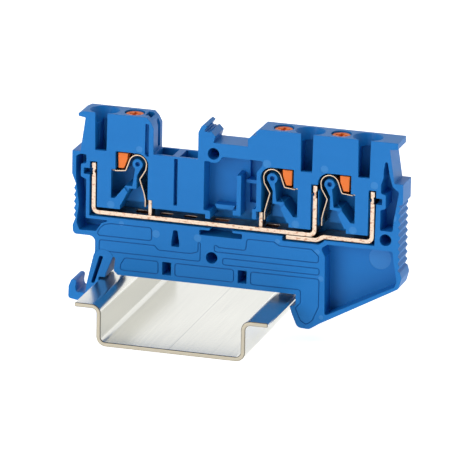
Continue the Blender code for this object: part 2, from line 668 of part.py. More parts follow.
def build_middle_pockets(housing):
    """The large middle pocket with its inner ribs and shelf, and the small slots."""
    near = deep(-GAP)
    far = deep(BAR_POCKET_DEPTH)
    outline_top = MARKER_Z - 2.4 * MM
    wall_right = MIDDLE.boss_x - 2.75 * MM
    room = [
        (1.2 * MM, DECK_Z - 0.15 * MM),
        (3.4 * MM, DECK_Z - 0.35 * MM),
        (4.3 * MM, outline_top),
        (MIDDLE.boss_x - 1.75 * MM, outline_top),
        (MIDDLE.boss_x - 1.75 * MM, BOSS_Z + 2.25 * MM),
        (wall_right, BOSS_Z + 0.9 * MM),
        (wall_right, BOSS_Z - 5.8 * MM),
        (wall_right - 0.7 * MM, BOSS_Z - 5.8 * MM),
        (wall_right - 0.7 * MM, BAR_Z + BAR_SHEET + 1.3 * MM),
        (2.4 * MM, BAR_Z + BAR_SHEET + 1.3 * MM),
        (2.4 * MM, BOSS_Z - 6.95 * MM),
        (1.2 * MM, BOSS_Z - 6.95 * MM),
    ]
    cut(housing, prism("cut_middle_room", rounded(room, 0.25 * MM, steps=3), near, deep(3.4 * MM)))
    cut(housing, box("cut_room_well", (8.6 * MM, wall_right - 0.05 * MM), (deep(3 * MM), far),
                     (BOSS_Z - 5.7 * MM, outline_top - 0.3 * MM)))
    floor = deep(BAR_POCKET_DEPTH + 0.1 * MM)
    rib = [
        (7.05 * MM, BOSS_Z - 0.1 * MM),
        (7.85 * MM, BOSS_Z - 0.1 * MM),
        (7.85 * MM, BAR_Z + BAR_SHEET + 1.65 * MM),
        (6.4 * MM, BAR_Z + BAR_SHEET + 1.65 * MM),
        (6.4 * MM, BAR_Z + BAR_SHEET + 2.5 * MM),
        (7.05 * MM, BAR_Z + BAR_SHEET + 2.6 * MM),
    ]
    add(housing, prism("rib_room", rib, deep(GAP), floor))
    shelf = [
        (2.9 * MM, BOSS_Z - 5.95 * MM),
        (6.6 * MM, BOSS_Z - 5.95 * MM),
        (6.2 * MM, BOSS_Z - 6.75 * MM),
        (3.2 * MM, BOSS_Z - 6.75 * MM),
    ]
    add(housing, prism("rib_shelf", shelf, deep(1.2 * MM), floor))
    add(housing, box("rib_bridge", (8.3 * MM, wall_right + 0.3 * MM), (deep(2 * MM), floor),
                     (BOSS_Z - 1.8 * MM, BOSS_Z - 1.15 * MM)))
    pin = (PIN_X, MARKER_Z - 2.0 * MM)
    ring = arc(pin, PIN_HOLE_RADIUS + 0.6 * MM, 0, 340, 17)
    add(housing, prism("rib_pin_ring", ring, FRONT_Y, floor))
    pin_hole(housing, "marker", pin)
    divider = [
        (-4.28 * MM, BOSS_Z - 6.7 * MM),
        (-3.65 * MM, BOSS_Z - 6.7 * MM),
        (-3.65 * MM, DECK_Z - 0.4 * MM),
        (-4.28 * MM, DECK_Z - 0.4 * MM),
    ]
    slot = rounded(divider, 0.1 * MM, steps=2)
    cut(housing, prism("cut_divider_slot", slot, near, deep(1.5 * MM)))
    tower_slot = [
        (LEFT.boss_x + 1.35 * MM, DECK_Z - 0.1 * MM),
        (LEFT.boss_x + 1.75 * MM, DECK_Z - 0.5 * MM),
        (LEFT.boss_x + 2.1 * MM, DECK_Z - 0.5 * MM),
        (LEFT.boss_x + 2.1 * MM, TOP_Z - 1.3 * MM),
        (LEFT.boss_x + 1.4 * MM, TOP_Z - 1.1 * MM),
    ]
    cut(housing, prism("cut_tower_slot", tower_slot, near, deep(0.9 * MM)))


def build_top_openings(housing):
    """The bridge shafts, the test socket and the slot in the left tower's end."""
    deep_wall = deep(THICKNESS - BACK_WALL)
    for i, limits in enumerate(BRIDGE_SHAFTS):
        cut(housing, box(f"cut_bridge_{i}", limits, (deep(BACK_WALL), deep_wall),
                         (BAR_Z + BAR_SHEET + 1.0 * MM, DECK_Z + 1 * MM)))
    tower = LEFT.boss_x
    cut(housing, box("cut_test_socket", (tower + 0.85 * MM, tower + 1.95 * MM),
                     (deep(1.45 * MM), deep(3.9 * MM)), (TOP_Z - 4.5 * MM, TOP_Z + 1 * MM)))
    cut(housing, box("cut_tower_end", (tower + 2.45 * MM, tower + 4 * MM),
                     (deep(2.6 * MM), deep(3.9 * MM)), (DECK_Z + 0.6 * MM, TOP_Z + 1 * MM)))


def build_lower_body(housing):
    """The keyhole, the long slot, the pin hole, the square pockets and the rest pads."""
    near = deep(-GAP)
    far = deep(POCKET_DEPTH)
    base = BODY_BOTTOM
    keyhole = [
        (-4.55 * MM, base + 6.3 * MM),
        (-3.1 * MM, base + 6.3 * MM),
        (-3.15 * MM, base + 7.2 * MM),
        (-3.5 * MM, base + 9.3 * MM),
        (-4.25 * MM, base + 9.3 * MM),
        (-4.55 * MM, base + 7.2 * MM),
    ]
    cut(housing, prism("cut_keyhole", rounded(keyhole, 0.15 * MM, steps=2), near, far))
    slot_top = BAR_Z - 0.75 * MM
    slot = [
        (0.5 * MM, slot_top - 0.95 * MM),
        (8.25 * MM, slot_top - 0.95 * MM),
        (8.25 * MM, slot_top),
        (6.5 * MM, slot_top),
        (6.5 * MM, BAR_Z),
        (2.4 * MM, BAR_Z),
        (2.4 * MM, slot_top),
        (0.5 * MM, slot_top),
    ]
    cut(housing, prism("cut_long_slot", rounded(slot, 0.2 * MM, steps=2), near, far))
    pin_hole(housing, "body", (PIN_X, base + 5.0 * MM))
    for i, centre in enumerate((-5.35 * MM, 8.45 * MM)):
        half = 0.8 * MM
        cut(housing, box(f"cut_square_{i}", (centre - half, centre + half), (near, far),
                         (base + 0.95 * MM, base + 3.3 * MM)))
    inner = RAIL_EDGE - 3.3 * MM
    for name, limits in (("left", (-inner - 0.7 * MM, -inner)), ("right", (inner, inner + 2.6 * MM))):
        add(housing, box("pad_" + name, limits, (deep(3.2 * MM), BACK_Y),
                         (RAIL_HEIGHT + GAP, base + 0.4 * MM)))


def build_housing(look):
    """The moulded insulating body with its fixed hook, open on the front side."""
    housing = prism("housing", housing_outline(), FRONT_Y, BACK_Y)
    build_left_pockets(housing)
    build_middle_pockets(housing)
    build_right_pockets(housing)
    for unit in UNITS:
        build_clamp_room(housing, unit)
    build_bar_channels(housing)
    build_top_openings(housing)
    build_lower_body(housing)
    finish(housing, look)


# ---------------------------------------------------------------- rail latch


def build_latch(look):
    """The springy foot: two legs, the nose under the flange and the finger loop."""
    edge = -RAIL_EDGE
    shoulder_z = NOSE_Z - 0.1 * MM
    outline = arc((LATCH_PIVOT_X, LATCH_PIVOT_Z), LATCH_HEAD_RADIUS, 24, 156, 8)
    outline += [
        (edge - 2.5 * MM, NOSE_Z + 0.1 * MM),
        (edge - 2.65 * MM, BODY_BOTTOM - 3.4 * MM),
    ]
    outline += rounded([
        (edge - 2.8 * MM, BODY_BOTTOM - 3.95 * MM),
        (edge - 4.4 * MM, BODY_BOTTOM - 3.95 * MM),
        (edge - 4.55 * MM, BODY_BOTTOM - 3.1 * MM),
        (edge - 4.35 * MM, BODY_BOTTOM - 1.7 * MM),
        (edge - 5.3 * MM, BODY_BOTTOM - 1.6 * MM),
        (edge - 5.85 * MM, BODY_BOTTOM - 3.0 * MM),
        (edge - 5.9 * MM, BODY_BOTTOM - 5.2 * MM),
        (edge - 4.4 * MM, BODY_BOTTOM - 5.45 * MM),
        (edge - 1.1 * MM, BODY_BOTTOM - 5.4 * MM),
    ], 0.5 * MM, closed=False, steps=3)
    outline += [
        (edge + 1.3 * MM, NOSE_Z - 0.9 * MM),
        (edge + 1.1 * MM, shoulder_z),
        (edge - GAP, shoulder_z),
        (edge - GAP, RAIL_HEIGHT + 0.25 * MM),
        (edge + 0.9 * MM, RAIL_HEIGHT + 0.25 * MM),
        (edge + 1.05 * MM, RAIL_HEIGHT + 1.0 * MM),
    ]
    latch = prism("rail_latch", outline, FRONT_Y, BACK_Y)
    slot = rounded([
        (LATCH_PIVOT_X - 0.7 * MM, LATCH_PIVOT_Z + 0.7 * MM),
        (LATCH_PIVOT_X, LATCH_PIVOT_Z + 0.7 * MM),
        (edge - 1.1 * MM, NOSE_Z + 0.1 * MM),
        (edge - 1.7 * MM, NOSE_Z + 0.1 * MM),
    ], 0.2 * MM, steps=2)
    pivot_at(latch, (LATCH_PIVOT_X, 0, LATCH_PIVOT_Z))
    cut(latch, prism("cut_latch_slot", slot, deep(-GAP), deep(POCKET_DEPTH)))
    finish(latch, look)


# ---------------------------------------------------------------- current bars


def bar_depths(beyond=0.0):
    """The y limits of the bars, carried on by the same amount at both ends."""
    return deep(BAR_FRONT - beyond), deep(BAR_FRONT + BAR_WIDTH + beyond)


def bar_tip(body, unit):
    """Cuts the two contact grooves into the side of a leg's tip."""
    for i in range(2):
        z = LEG_TOP - (1.15 + 0.85 * i) * MM
        face = unit.at(unit.leg + BAR_SHEET / 2, 0)[0]
        notch = arc((face, z), 0.24 * MM, 0, 315, 7)
        groove = prism(f"cut_tip_{unit.name}_{i}", notch, *bar_depths(GAP))
        cut(body, groove)


def build_main_bar(look):
    """The long bar: a leg at each end and two lugs turned up for the springs."""
    half = BAR_SHEET / 2
    left_x = LEFT.at(LEFT.leg, 0)[0]
    middle_x = MIDDLE.at(MIDDLE.leg, 0)[0]
    path = [
        (left_x, LEG_TOP),
        (left_x, BAR_Z + half),
        (middle_x, BAR_Z + half),
        (middle_x, LEG_TOP),
    ]
    bar = prism("busbar_main", strip(path, BAR_SHEET, BAR_BEND), *bar_depths())
    for unit in (LEFT, MIDDLE):
        inner = unit.at(-unit.tab, 0)[0]
        outer = unit.at(-unit.tab - LUG_SHEET, 0)[0]
        add(bar, box("lug_" + unit.name, sorted((inner, outer)), (deep(0.9 * MM), deep(3.2 * MM)),
                     (BAR_Z + half, BAR_Z + BAR_SHEET + TAB_HEIGHT)))
        window = sorted((unit.at(-unit.tab + 0.25 * MM, 0)[0], unit.at(-unit.tab + 2.6 * MM, 0)[0]))
        cut(bar, box("cut_window_" + unit.name, window, (deep(1.3 * MM), deep(3.0 * MM)),
                     (BAR_Z - GAP, BAR_Z + BAR_SHEET + GAP)))
        bar_tip(bar, unit)
    for i, limits in enumerate(BRIDGE_SHAFTS):
        middle = sum(limits) / 2
        cut(bar, box(f"cut_bridge_slot_{i}", (middle - 1.1 * MM, middle + 1.1 * MM),
                     (deep(1.7 * MM), deep(2.8 * MM)), (BAR_Z - GAP, BAR_Z + BAR_SHEET + GAP)))
    cut(bar, box("cut_bar_hole", (2.6 * MM, 5.2 * MM), (deep(1.6 * MM), deep(2.9 * MM)),
                 (BAR_Z - GAP, BAR_Z + BAR_SHEET + GAP)))
    finish(bar, look)


def build_link_bar(look):
    """The short bar that lies under the main bar and carries on to the right-hand leg."""
    half = BAR_SHEET / 2
    start = MIDDLE.at(MIDDLE.leg - LINK_LAP, 0)[0]
    step = MIDDLE.at(MIDDLE.leg, 0)[0] + BAR_SHEET / 2
    right_x = RIGHT.at(RIGHT.leg, 0)[0]
    low = BAR_Z - 0.1 * MM - half
    high = BAR_Z + half - 0.15 * MM
    path = [
        (start, low),
        (step, low),
        (step + 1.3 * MM, high),
        (right_x, high),
        (right_x, LEG_TOP),
    ]
    link = prism("busbar_link", strip(path, BAR_SHEET, BAR_BEND), *bar_depths())
    bar_tip(link, RIGHT)
    finish(link, look)


# ---------------------------------------------------------------- springs and buttons


def spring_depths():
    """The y limits of the clamping springs."""
    return deep(SPRING_FRONT), deep(SPRING_FRONT + SPRING_WIDTH)


def build_anchor(unit, look):
    """The still half of a spring: round the boss and down beside the bar's lug."""
    leg = -(unit.tab - SPRING_SHEET / 2) / MM + 0.3
    foot = (BAR_Z + BAR_SHEET + 1.45 * MM - BOSS_Z) / MM
    path = unit_arc(unit, SPRING_RADIUS, 62, 182, 12)
    path += unit.path([(-1.45, -1.0), (-0.4, -2.75), (leg + 0.25, -5.2), (leg, -6.3), (leg, foot)])
    outline = strip(path, SPRING_SHEET, SPRING_BEND, steps=3)
    anchor = prism("spring_anchor_" + unit.name, outline, *spring_depths())
    finish(anchor, look)


def build_tongue(unit, look):
    """The moving half of a spring, turning about the boss, with its clamping blade."""
    blade_end = (unit.leg - BAR_SHEET / 2) / MM - 0.35
    path = unit_arc(unit, SPRING_RADIUS, 54, 18, 4)
    path += unit.path([(2.2, -1.42), (4.15, -1.62)])
    near, far = spring_depths()
    outline = strip(path, SPRING_SHEET, SPRING_BEND, steps=3)
    tongue = prism("spring_tongue_" + unit.name, outline, near, far)
    pivot_at(tongue, (unit.boss_x, 0, BOSS_Z))
    tip = unit.path([(3.9, -1.597), (blade_end - 0.6, -1.95), (blade_end, -2.25)])
    blade = strip(tip, SPRING_SHEET, SPRING_BEND)
    add(tongue, prism("blade_" + unit.name, blade, deep(SKIN + GAP), far))
    finish(tongue, look)


def build_button(unit, look):
    """The push button: round head, neck and the foot that bears on the spring."""
    head_x = unit.at(HEAD_OFFSET, 0)[0]
    centre = (head_x, deep(HEAD_DEPTH))
    top = TOP_Z - HEAD_SUNK
    radii = (HEAD_RADIUS, HEAD_RADIUS)
    button = upright("push_button_" + unit.name, centre, radii, radii, top - HEAD_HEIGHT, top)
    neck = sorted((unit.at(NECK_NEAR, 0)[0], unit.at(NECK_FAR, 0)[0]))
    add(button, box("neck_" + unit.name, neck, (centre[1] - NECK_HALF, centre[1] + NECK_HALF),
                    (BOSS_Z + 1.3 * MM, top - 0.5 * HEAD_HEIGHT)))
    foot = [
        unit.at(FOOT_NEAR, FOOT_TOP),
        unit.at(FOOT_FAR, FOOT_TOP),
        unit.at(FOOT_FAR - 0.1 * MM, FOOT_BOTTOM),
        unit.at(FOOT_NEAR + 0.7 * MM, FOOT_BOTTOM),
        unit.at(FOOT_NEAR + 0.1 * MM, 0.6 * MM),
    ]
    add(button, prism("foot_" + unit.name, foot, deep(0.4 * MM), deep(3.95 * MM)))
    for i, (wide, long) in enumerate(((0.3 * MM, 1.05 * MM), (1.05 * MM, 0.3 * MM))):
        cut(button, box(f"cut_cross_{unit.name}_{i}", (head_x - wide, head_x + wide),
                        (centre[1] - long, centre[1] + long), (top - 0.7 * MM, top + GAP)))
    finish(button, look)


def main():
    """Clears the scene and builds every piece where it lies at rest."""
    for thing in list(bpy.data.objects):
        bpy.data.objects.remove(thing, do_unlink=True)
    blue = material("blue_polyamide", (0.030, 0.190, 0.560), 0.42)
    orange = material("orange_polyamide", (0.870, 0.215, 0.040), 0.40)
    copper = material("tinned_copper", (0.800, 0.640, 0.500), 0.32, 1.0)
    spring = material("spring_steel", (0.620, 0.560, 0.480), 0.28, 1.0)
    zinc = material("passivated_steel", (0.700, 0.700, 0.670), 0.25, 1.0)

    build_rail(zinc)
    build_housing(blue)
    build_latch(blue)
    build_main_bar(copper)
    build_link_bar(copper)
    for unit in UNITS:
        build_anchor(unit, spring)
        build_tongue(unit, spring)
        build_button(unit, orange)


main()
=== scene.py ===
"""The looks of a push-in feed-through terminal block clipped on a short top-hat rail.

Metres, +Z up, +X along the block's length, +Y towards its closed back wall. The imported
solids give every place; this script rounds their edges, adds the moulding marks, the necks
of the bars' legs and the one-piece springs, and gives each piece its finish, then sets up
the studio and the camera.
"""

import json
import logging
import math
from dataclasses import dataclass, field
from enum import Enum
from typing import Any, Iterable, Sequence

import bpy
import numpy as np
from mathutils import Matrix, Vector


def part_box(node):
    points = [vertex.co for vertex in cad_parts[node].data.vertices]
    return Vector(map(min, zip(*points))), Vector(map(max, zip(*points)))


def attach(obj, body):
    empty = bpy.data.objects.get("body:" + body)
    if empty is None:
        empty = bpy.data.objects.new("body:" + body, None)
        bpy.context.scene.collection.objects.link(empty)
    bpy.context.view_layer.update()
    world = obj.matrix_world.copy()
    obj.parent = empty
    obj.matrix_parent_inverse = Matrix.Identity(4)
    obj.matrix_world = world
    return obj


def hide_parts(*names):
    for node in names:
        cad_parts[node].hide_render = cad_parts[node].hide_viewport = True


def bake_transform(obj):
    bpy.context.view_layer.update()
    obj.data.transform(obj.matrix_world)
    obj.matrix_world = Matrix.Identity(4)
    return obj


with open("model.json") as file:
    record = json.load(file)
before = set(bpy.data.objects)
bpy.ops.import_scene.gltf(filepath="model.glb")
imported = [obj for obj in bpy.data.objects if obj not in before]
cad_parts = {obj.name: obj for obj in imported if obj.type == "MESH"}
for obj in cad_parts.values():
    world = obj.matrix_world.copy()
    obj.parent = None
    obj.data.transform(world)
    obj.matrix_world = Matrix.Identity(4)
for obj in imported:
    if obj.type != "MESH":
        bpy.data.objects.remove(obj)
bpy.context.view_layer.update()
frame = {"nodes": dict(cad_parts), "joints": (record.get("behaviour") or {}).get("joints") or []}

MM = 0.001
WELD = 0.002 * MM
FLAT_ANGLE = 0.5
CORNER_ANGLE = 34.0
CUT_END_ANGLE = 50.0
METAL_ANGLE = 35.0
LEAST_SIDES = 5
MOST_TRIES = 8
CROWDED = 2.2
TINY = 1e-18
LOG = logging.getLogger("terminal_block")

Point = tuple[float, float]
Colour = tuple[float, float, float]


class Side(Enum):
    """Where the wire enters, seen from the spring's boss."""

    LEFT = -1
    RIGHT = 1


class Body(Enum):
    """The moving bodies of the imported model."""

    RAIL = "rail"
    BLOCK = "block"
    LATCH = "latch"


# ---------------------------------------------------------------- shader expressions


class Value:
    """A node socket that takes part in Python expressions by adding Math nodes."""

    def __init__(self, recipe: "Recipe", socket: bpy.types.NodeSocket) -> None:
        """Keeps the socket and the material it belongs to.

        Args:
            recipe: The material being built.
            socket: The output socket that holds the value.
        """
        self.recipe = recipe
        self.socket = socket

    def math(self, operation: str, other: Any = 0.0, flipped: bool = False) -> "Value":
        """Adds one Math node.

        Args:
            operation: The Math node's operation.
            other: The second operand, a number or a Value.
            flipped: True puts this value second.

        Returns:
            The node's result.
        """
        pair = (other, self) if flipped else (self, other)
        return self.recipe.add("ShaderNodeMath", {"operation": operation}, {0: pair[0], 1: pair[1]})

    def __add__(self, other: Any) -> "Value":
        """This value plus another."""
        return self.math("ADD", other)

    def __radd__(self, other: Any) -> "Value":
        """Another value plus this one."""
        return self.math("ADD", other, True)

    def __sub__(self, other: Any) -> "Value":
        """This value less another."""
        return self.math("SUBTRACT", other)

    def __rsub__(self, other: Any) -> "Value":
        """Another value less this one."""
        return self.math("SUBTRACT", other, True)

    def __mul__(self, other: Any) -> "Value":
        """This value times another."""
        return self.math("MULTIPLY", other)

    def __rmul__(self, other: Any) -> "Value":
        """Another value times this one."""
        return self.math("MULTIPLY", other, True)

    def size(self) -> "Value":
        """The value without its sign."""
        return self.math("ABSOLUTE")

    def above(self, limit: float, soft: float) -> "Value":
        """A mask that rises from 0 to 1 where the value passes a limit.

        Args:
            limit: Where the mask is one half.
            soft: The width of the rise.

        Returns:
            The mask, from 0 to 1.
        """
        limits = {0: self, 1: limit - soft / 2, 2: limit + soft / 2, 3: 0.0, 4: 1.0}
        return self.recipe.add("ShaderNodeMapRange", {"interpolation_type": "SMOOTHSTEP"}, limits)


class Recipe:
    """The node tree of one material, built round its Principled shader."""

    def __init__(self, name: str) -> None:
        """Makes a new material.

        Args:
            name: The material's name.
        """
        self.material = bpy.data.materials.new(name)
        self.material.use_nodes = True
        self.tree = self.material.node_tree
        self.shader = self.tree.nodes["Principled BSDF"]
        self.point = self.add("ShaderNodeTexCoord", output="Object")

    def add(
        self,
        kind: str,
        settings: dict[str, Any] | None = None,
        inputs: dict[Any, Any] | None = None,
        output: Any = 0,
    ) -> Value:
        """Adds a node of any type.

        Args:
            kind: The node's type.
            settings: The node's own settings, set first.
            inputs: Values or links, by the socket's name or number.
            output: The socket to return, by name or number.

        Returns:
            The chosen output.
        """
        node = self.tree.nodes.new(kind)
        for name, value in (settings or {}).items():
            setattr(node, name, value)
        for name, value in (inputs or {}).items():
            self.feed(node.inputs[name], value)
        return Value(self, node.outputs[output])

    def feed(self, socket: bpy.types.NodeSocket, value: Any) -> None:
        """Links a Value to a socket, or sets a plain number or colour on it.

        Args:
            socket: The input socket.
            value: What it gets.
        """
        if isinstance(value, Value):
            self.tree.links.new(value.socket, socket)
        elif socket.type == "RGBA" and len(value) == 3:
            socket.default_value = (*value, 1.0)
        else:
            socket.default_value = value

    def stretched(self, scale: tuple[float, float, float]) -> Value:
        """The object's own coordinates, multiplied along each axis.

        Args:
            scale: The factors along X, Y and Z.

        Returns:
            The stretched coordinates.
        """
        settings = {"vector_type": "POINT"}
        return self.add("ShaderNodeMapping", settings, {"Vector": self.point, "Scale": scale})

    def noise(self, scale: float, detail: float = 2.0, stretch: Sequence[float] = (1, 1, 1)) -> Value:
        """A cloudy value round one half.

        Args:
            scale: Lumps per metre.
            detail: How many finer layers are added.
            stretch: Factors on the coordinates first.

        Returns:
            The noise, from 0 to 1.
        """
        where = self.stretched(tuple(stretch))
        return self.add("ShaderNodeTexNoise", None, {"Vector": where, "Scale": scale, "Detail": detail})

    def blend(self, amount: Any, first: Any, second: Any) -> Value:
        """A colour between two others.

        Args:
            amount: 0 gives the first, 1 the second.
            first: A colour.
            second: A colour.

        Returns:
            The mixed colour.
        """
        node = self.tree.nodes.new("ShaderNodeMix")
        node.data_type = "RGBA"
        self.feed(node.inputs[0], amount)
        self.feed(node.inputs[6], first)
        self.feed(node.inputs[7], second)
        return Value(self, node.outputs[2])

    def facing(self, axis: str) -> Value:
        """How far the surface looks along one of the object's axes.

        Args:
            axis: X, Y or Z.

        Returns:
            The normal's part along that axis, without its sign.
        """
        normal = self.add("ShaderNodeTexCoord", output="Normal")
        return self.add("ShaderNodeSeparateXYZ", None, {0: normal}, axis).size()

    def rim(self, axis: str) -> Value:
        """A mask for rounded edges, which look neither along an axis nor across it; the metal finishes
        use it to paint a dark line of reflection along those edges.
        """
        facing = self.facing(axis)
        return facing.above(0.22, 0.16) * (1.0 - facing.above(0.90, 0.08))

    def place(self, axis: str) -> Value:
        """The position along one of the object's axes, in metres."""
        return self.add("ShaderNodeSeparateXYZ", None, {0: self.point}, axis)

    def bump(self, height: Value, depth: float) -> None:
        """Lets a value raise the surface.

        Args:
            height: The value, from 0 to 1.
            depth: How far 1 stands above 0, in metres.
        """
        inputs = {"Height": height, "Distance": depth, "Strength": 1.0}
        self.give({"Normal": self.add("ShaderNodeBump", None, inputs)})

    def give(self, inputs: dict[str, Any]) -> None:
        """Feeds the Principled shader's sockets.

        Args:
            inputs: Values or links, by the socket's name.
        """
        for name, value in inputs.items():
            self.feed(self.shader.inputs[name], value)


# ---------------------------------------------------------------- finishes


@dataclass(frozen=True)
class MouldedPlastic:
    """Injection-moulded polyamide: satin, with flow clouds and a fine spark-eroded grain."""

    name: str
    colour: Colour
    pale: Colour
    roughness: float = 0.42
    grain: float = 0.006 * MM

    def make(self) -> bpy.types.Material:
        """Builds the material.

        Returns:
            The new material.
        """
        recipe = Recipe(self.name)
        cloud = recipe.noise(170.0, 3.0)
        streak = recipe.noise(420.0, 2.0, (0.25, 1.0, 1.6))
        fine = recipe.noise(14000.0, 2.0)
        speck = recipe.noise(5200.0, 1.0).above(0.66, 0.06)
        depth = 0.30 * cloud + 0.30 * streak + 0.06 * fine + 0.10 * speck
        recipe.give({
            "Base Color": recipe.blend(depth, self.colour, self.pale),
            "Roughness": self.roughness + 0.10 * (streak - 0.5) + 0.10 * (fine - 0.5),
            "IOR": 1.29,
        })
        recipe.bump(0.7 * fine + 0.3 * recipe.noise(3200.0, 2.0), self.grain)
        return recipe.material


BLUE_POLYAMIDE = MouldedPlastic("blue_polyamide", (0.003, 0.146, 0.455), (0.012, 0.190, 0.540))


@dataclass(frozen=True)
class TinnedCopper:
    """Punched copper strip with a dull tin skin, and bare warm copper on its cut edges; the walls of
    its punched holes are painted near black as shade, and a dark line along its rounded edges is
    painted reflection.
    """

    name: str
    tin: Colour
    cut: Colour
    bare: Colour
    # Painted reflection: the dark colour of the line along the rounded edges.
    painted_edge_reflection: Colour
    # Painted shade: the near-black colour of the punched holes' walls.
    hole_shade: Colour = (0.060, 0.022, 0.014)
    middle_y: float = -0.4 * MM
    half_width: float = 1.75 * MM
    strip_top: float = 19.8 * MM

    def make(self) -> bpy.types.Material:
        """Builds the material.

        Returns:
            The new material.
        """
        recipe = Recipe(self.name)
        across = recipe.facing("Y").above(0.8, 0.2)
        lug = recipe.place("Z").above(self.strip_top, 0.2 * MM)
        flank = (recipe.place("Y") - self.middle_y).size().above(self.half_width, 0.1 * MM)
        outer = flank.math("MAXIMUM", lug)
        edge = across * outer
        mottled = recipe.noise(900.0, 4.0)
        rubbed = recipe.noise(420.0, 3.0).above(0.52, 0.12)
        torn = recipe.noise(2600.0, 3.0, (0.5, 1.0, 1.0)).above(0.58, 0.10)
        cut = recipe.blend(0.75 * torn, self.cut, self.bare)
        skin = recipe.blend(0.50 * mottled + 0.45 * rubbed, self.tin, self.bare)
        clean = recipe.blend(edge, skin, cut)
        # Painted shade: faces inside the strip that look along Y, the walls of the punched holes, go
        # near black.
        cut_faces_and_any_hole_shade = recipe.blend(across * (1.0 - outer), clean, self.hole_shade)
        recipe.give({
            # Painted reflection: a dark line along the rounded edges.
            "Base Color": recipe.blend(0.80 * recipe.rim("Y"), cut_faces_and_any_hole_shade, self.painted_edge_reflection),
            "Metallic": 1.0 - 0.35 * edge,
            "Roughness": 0.30 + 0.16 * edge + 0.14 * (mottled - 0.5),
        })
        recipe.bump(0.6 * torn * edge + 0.4 * recipe.noise(6000.0, 2.0), 0.008 * MM)
        return recipe.material


@dataclass(frozen=True)
class SpringSteel:
    """Thin rolled spring strip with a straw tint and slightly paler sheared edges, and a dark line
    painted along its rounded edges as reflection.
    """

    name: str
    colour: Colour
    edge: Colour
    # Painted reflection: the dark colour of the line along the rounded edges.
    painted_edge_reflection: Colour

    def make(self) -> bpy.types.Material:
        """Builds the material.

        Returns:
            The new material.
        """
        recipe = Recipe(self.name)
        rolled = recipe.noise(5200.0, 2.0, (1.0, 0.06, 1.0))
        tint = recipe.noise(380.0, 3.0)
        sheared = recipe.facing("Y").above(0.8, 0.2)
        base = recipe.blend(0.5 * tint + 0.2 * rolled, self.colour, self.edge)
        cut_faces_and_any_hole_shade = recipe.blend(sheared, base, self.edge)
        recipe.give({
            # Painted reflection: a dark line along the rounded edges.
            "Base Color": recipe.blend(0.7 * recipe.rim("Y"), cut_faces_and_any_hole_shade, self.painted_edge_reflection),
            "Metallic": 1.0 - 0.25 * sheared,
            "Roughness": 0.22 + 0.12 * rolled + 0.12 * sheared,
        })
        recipe.bump(rolled, 0.003 * MM)
        return recipe.material


@dataclass(frozen=True)
class PassivatedSteel:
    """Bright zinc-plated sheet: rolling lines, faint scratches, and raw sawn ends, with a dark line
    painted along the rounded edges as reflection.
    """

    name: str
    zinc: Colour
    shade: Colour
    sawn: Colour
    # Painted reflection: the dark colour of the line along the rounded edges.
    painted_edge_reflection: Colour
    scribe_x: float
    scribe_width: float = 0.07 * MM
    web_top: float = 1.6 * MM

    def make(self) -> bpy.types.Material:
        """Builds the material.

        Returns:
            The new material.
        """
        recipe = Recipe(self.name)
        rolled = recipe.noise(3200.0, 2.0, (1.0, 0.02, 1.0))
        bloom = recipe.noise(90.0, 2.0, (1.0, 0.45, 1.0))
        scratch = recipe.noise(900.0, 1.0, (1.0, 0.05, 1.0)).above(0.74, 0.06)
        aside = (recipe.place("X") - self.scribe_x).size()
        scribe = 1.0 - aside.above(self.scribe_width, 0.05 * MM)
        web = 1.0 - recipe.place("Z").above(self.web_top, 0.4 * MM)
        line = scribe * web
        sawn = recipe.facing("Y").above(0.8, 0.2)
        dull = 0.25 * bloom + 0.22 * rolled + 0.10 * scratch + 0.55 * line
        torn = recipe.noise(3800.0, 2.0, (0.3, 1.0, 1.0))
        skin = recipe.blend(dull, self.zinc, self.shade)
        cut_faces_and_any_hole_shade = recipe.blend(sawn, skin, self.sawn)
        recipe.give({
            # Painted reflection: a dark line along the rounded edges.
            "Base Color": recipe.blend(0.85 * recipe.rim("Y"), cut_faces_and_any_hole_shade, self.painted_edge_reflection),
            "Metallic": 1.0 - 0.35 * sawn,
            "Roughness": 0.17 + 0.06 * bloom + 0.06 * rolled + 0.20 * sawn,
        })
        recipe.bump(0.25 * rolled + 0.3 * torn * sawn - 0.6 * line, 0.005 * MM)
        return recipe.material


@dataclass(frozen=True)
class StudioPaper:
    """The seamless pale sheet that the block stands on."""

    name: str
    colour: Colour
    glow: float

    def make(self) -> bpy.types.Material:
        """Builds the material.

        Returns:
            The new material.
        """
        recipe = Recipe(self.name)
        fibre = recipe.noise(900.0, 3.0)
        tone = recipe.blend(0.4 * fibre, self.colour, tuple(0.97 * c for c in self.colour))
        recipe.give({
            "Base Color": tone,
            "Roughness": 0.85,
            "Specular IOR Level": 0.1,
            "Emission Color": self.colour,
            "Emission Strength": self.glow,
        })
        return recipe.material


# ---------------------------------------------------------------- modelling bench


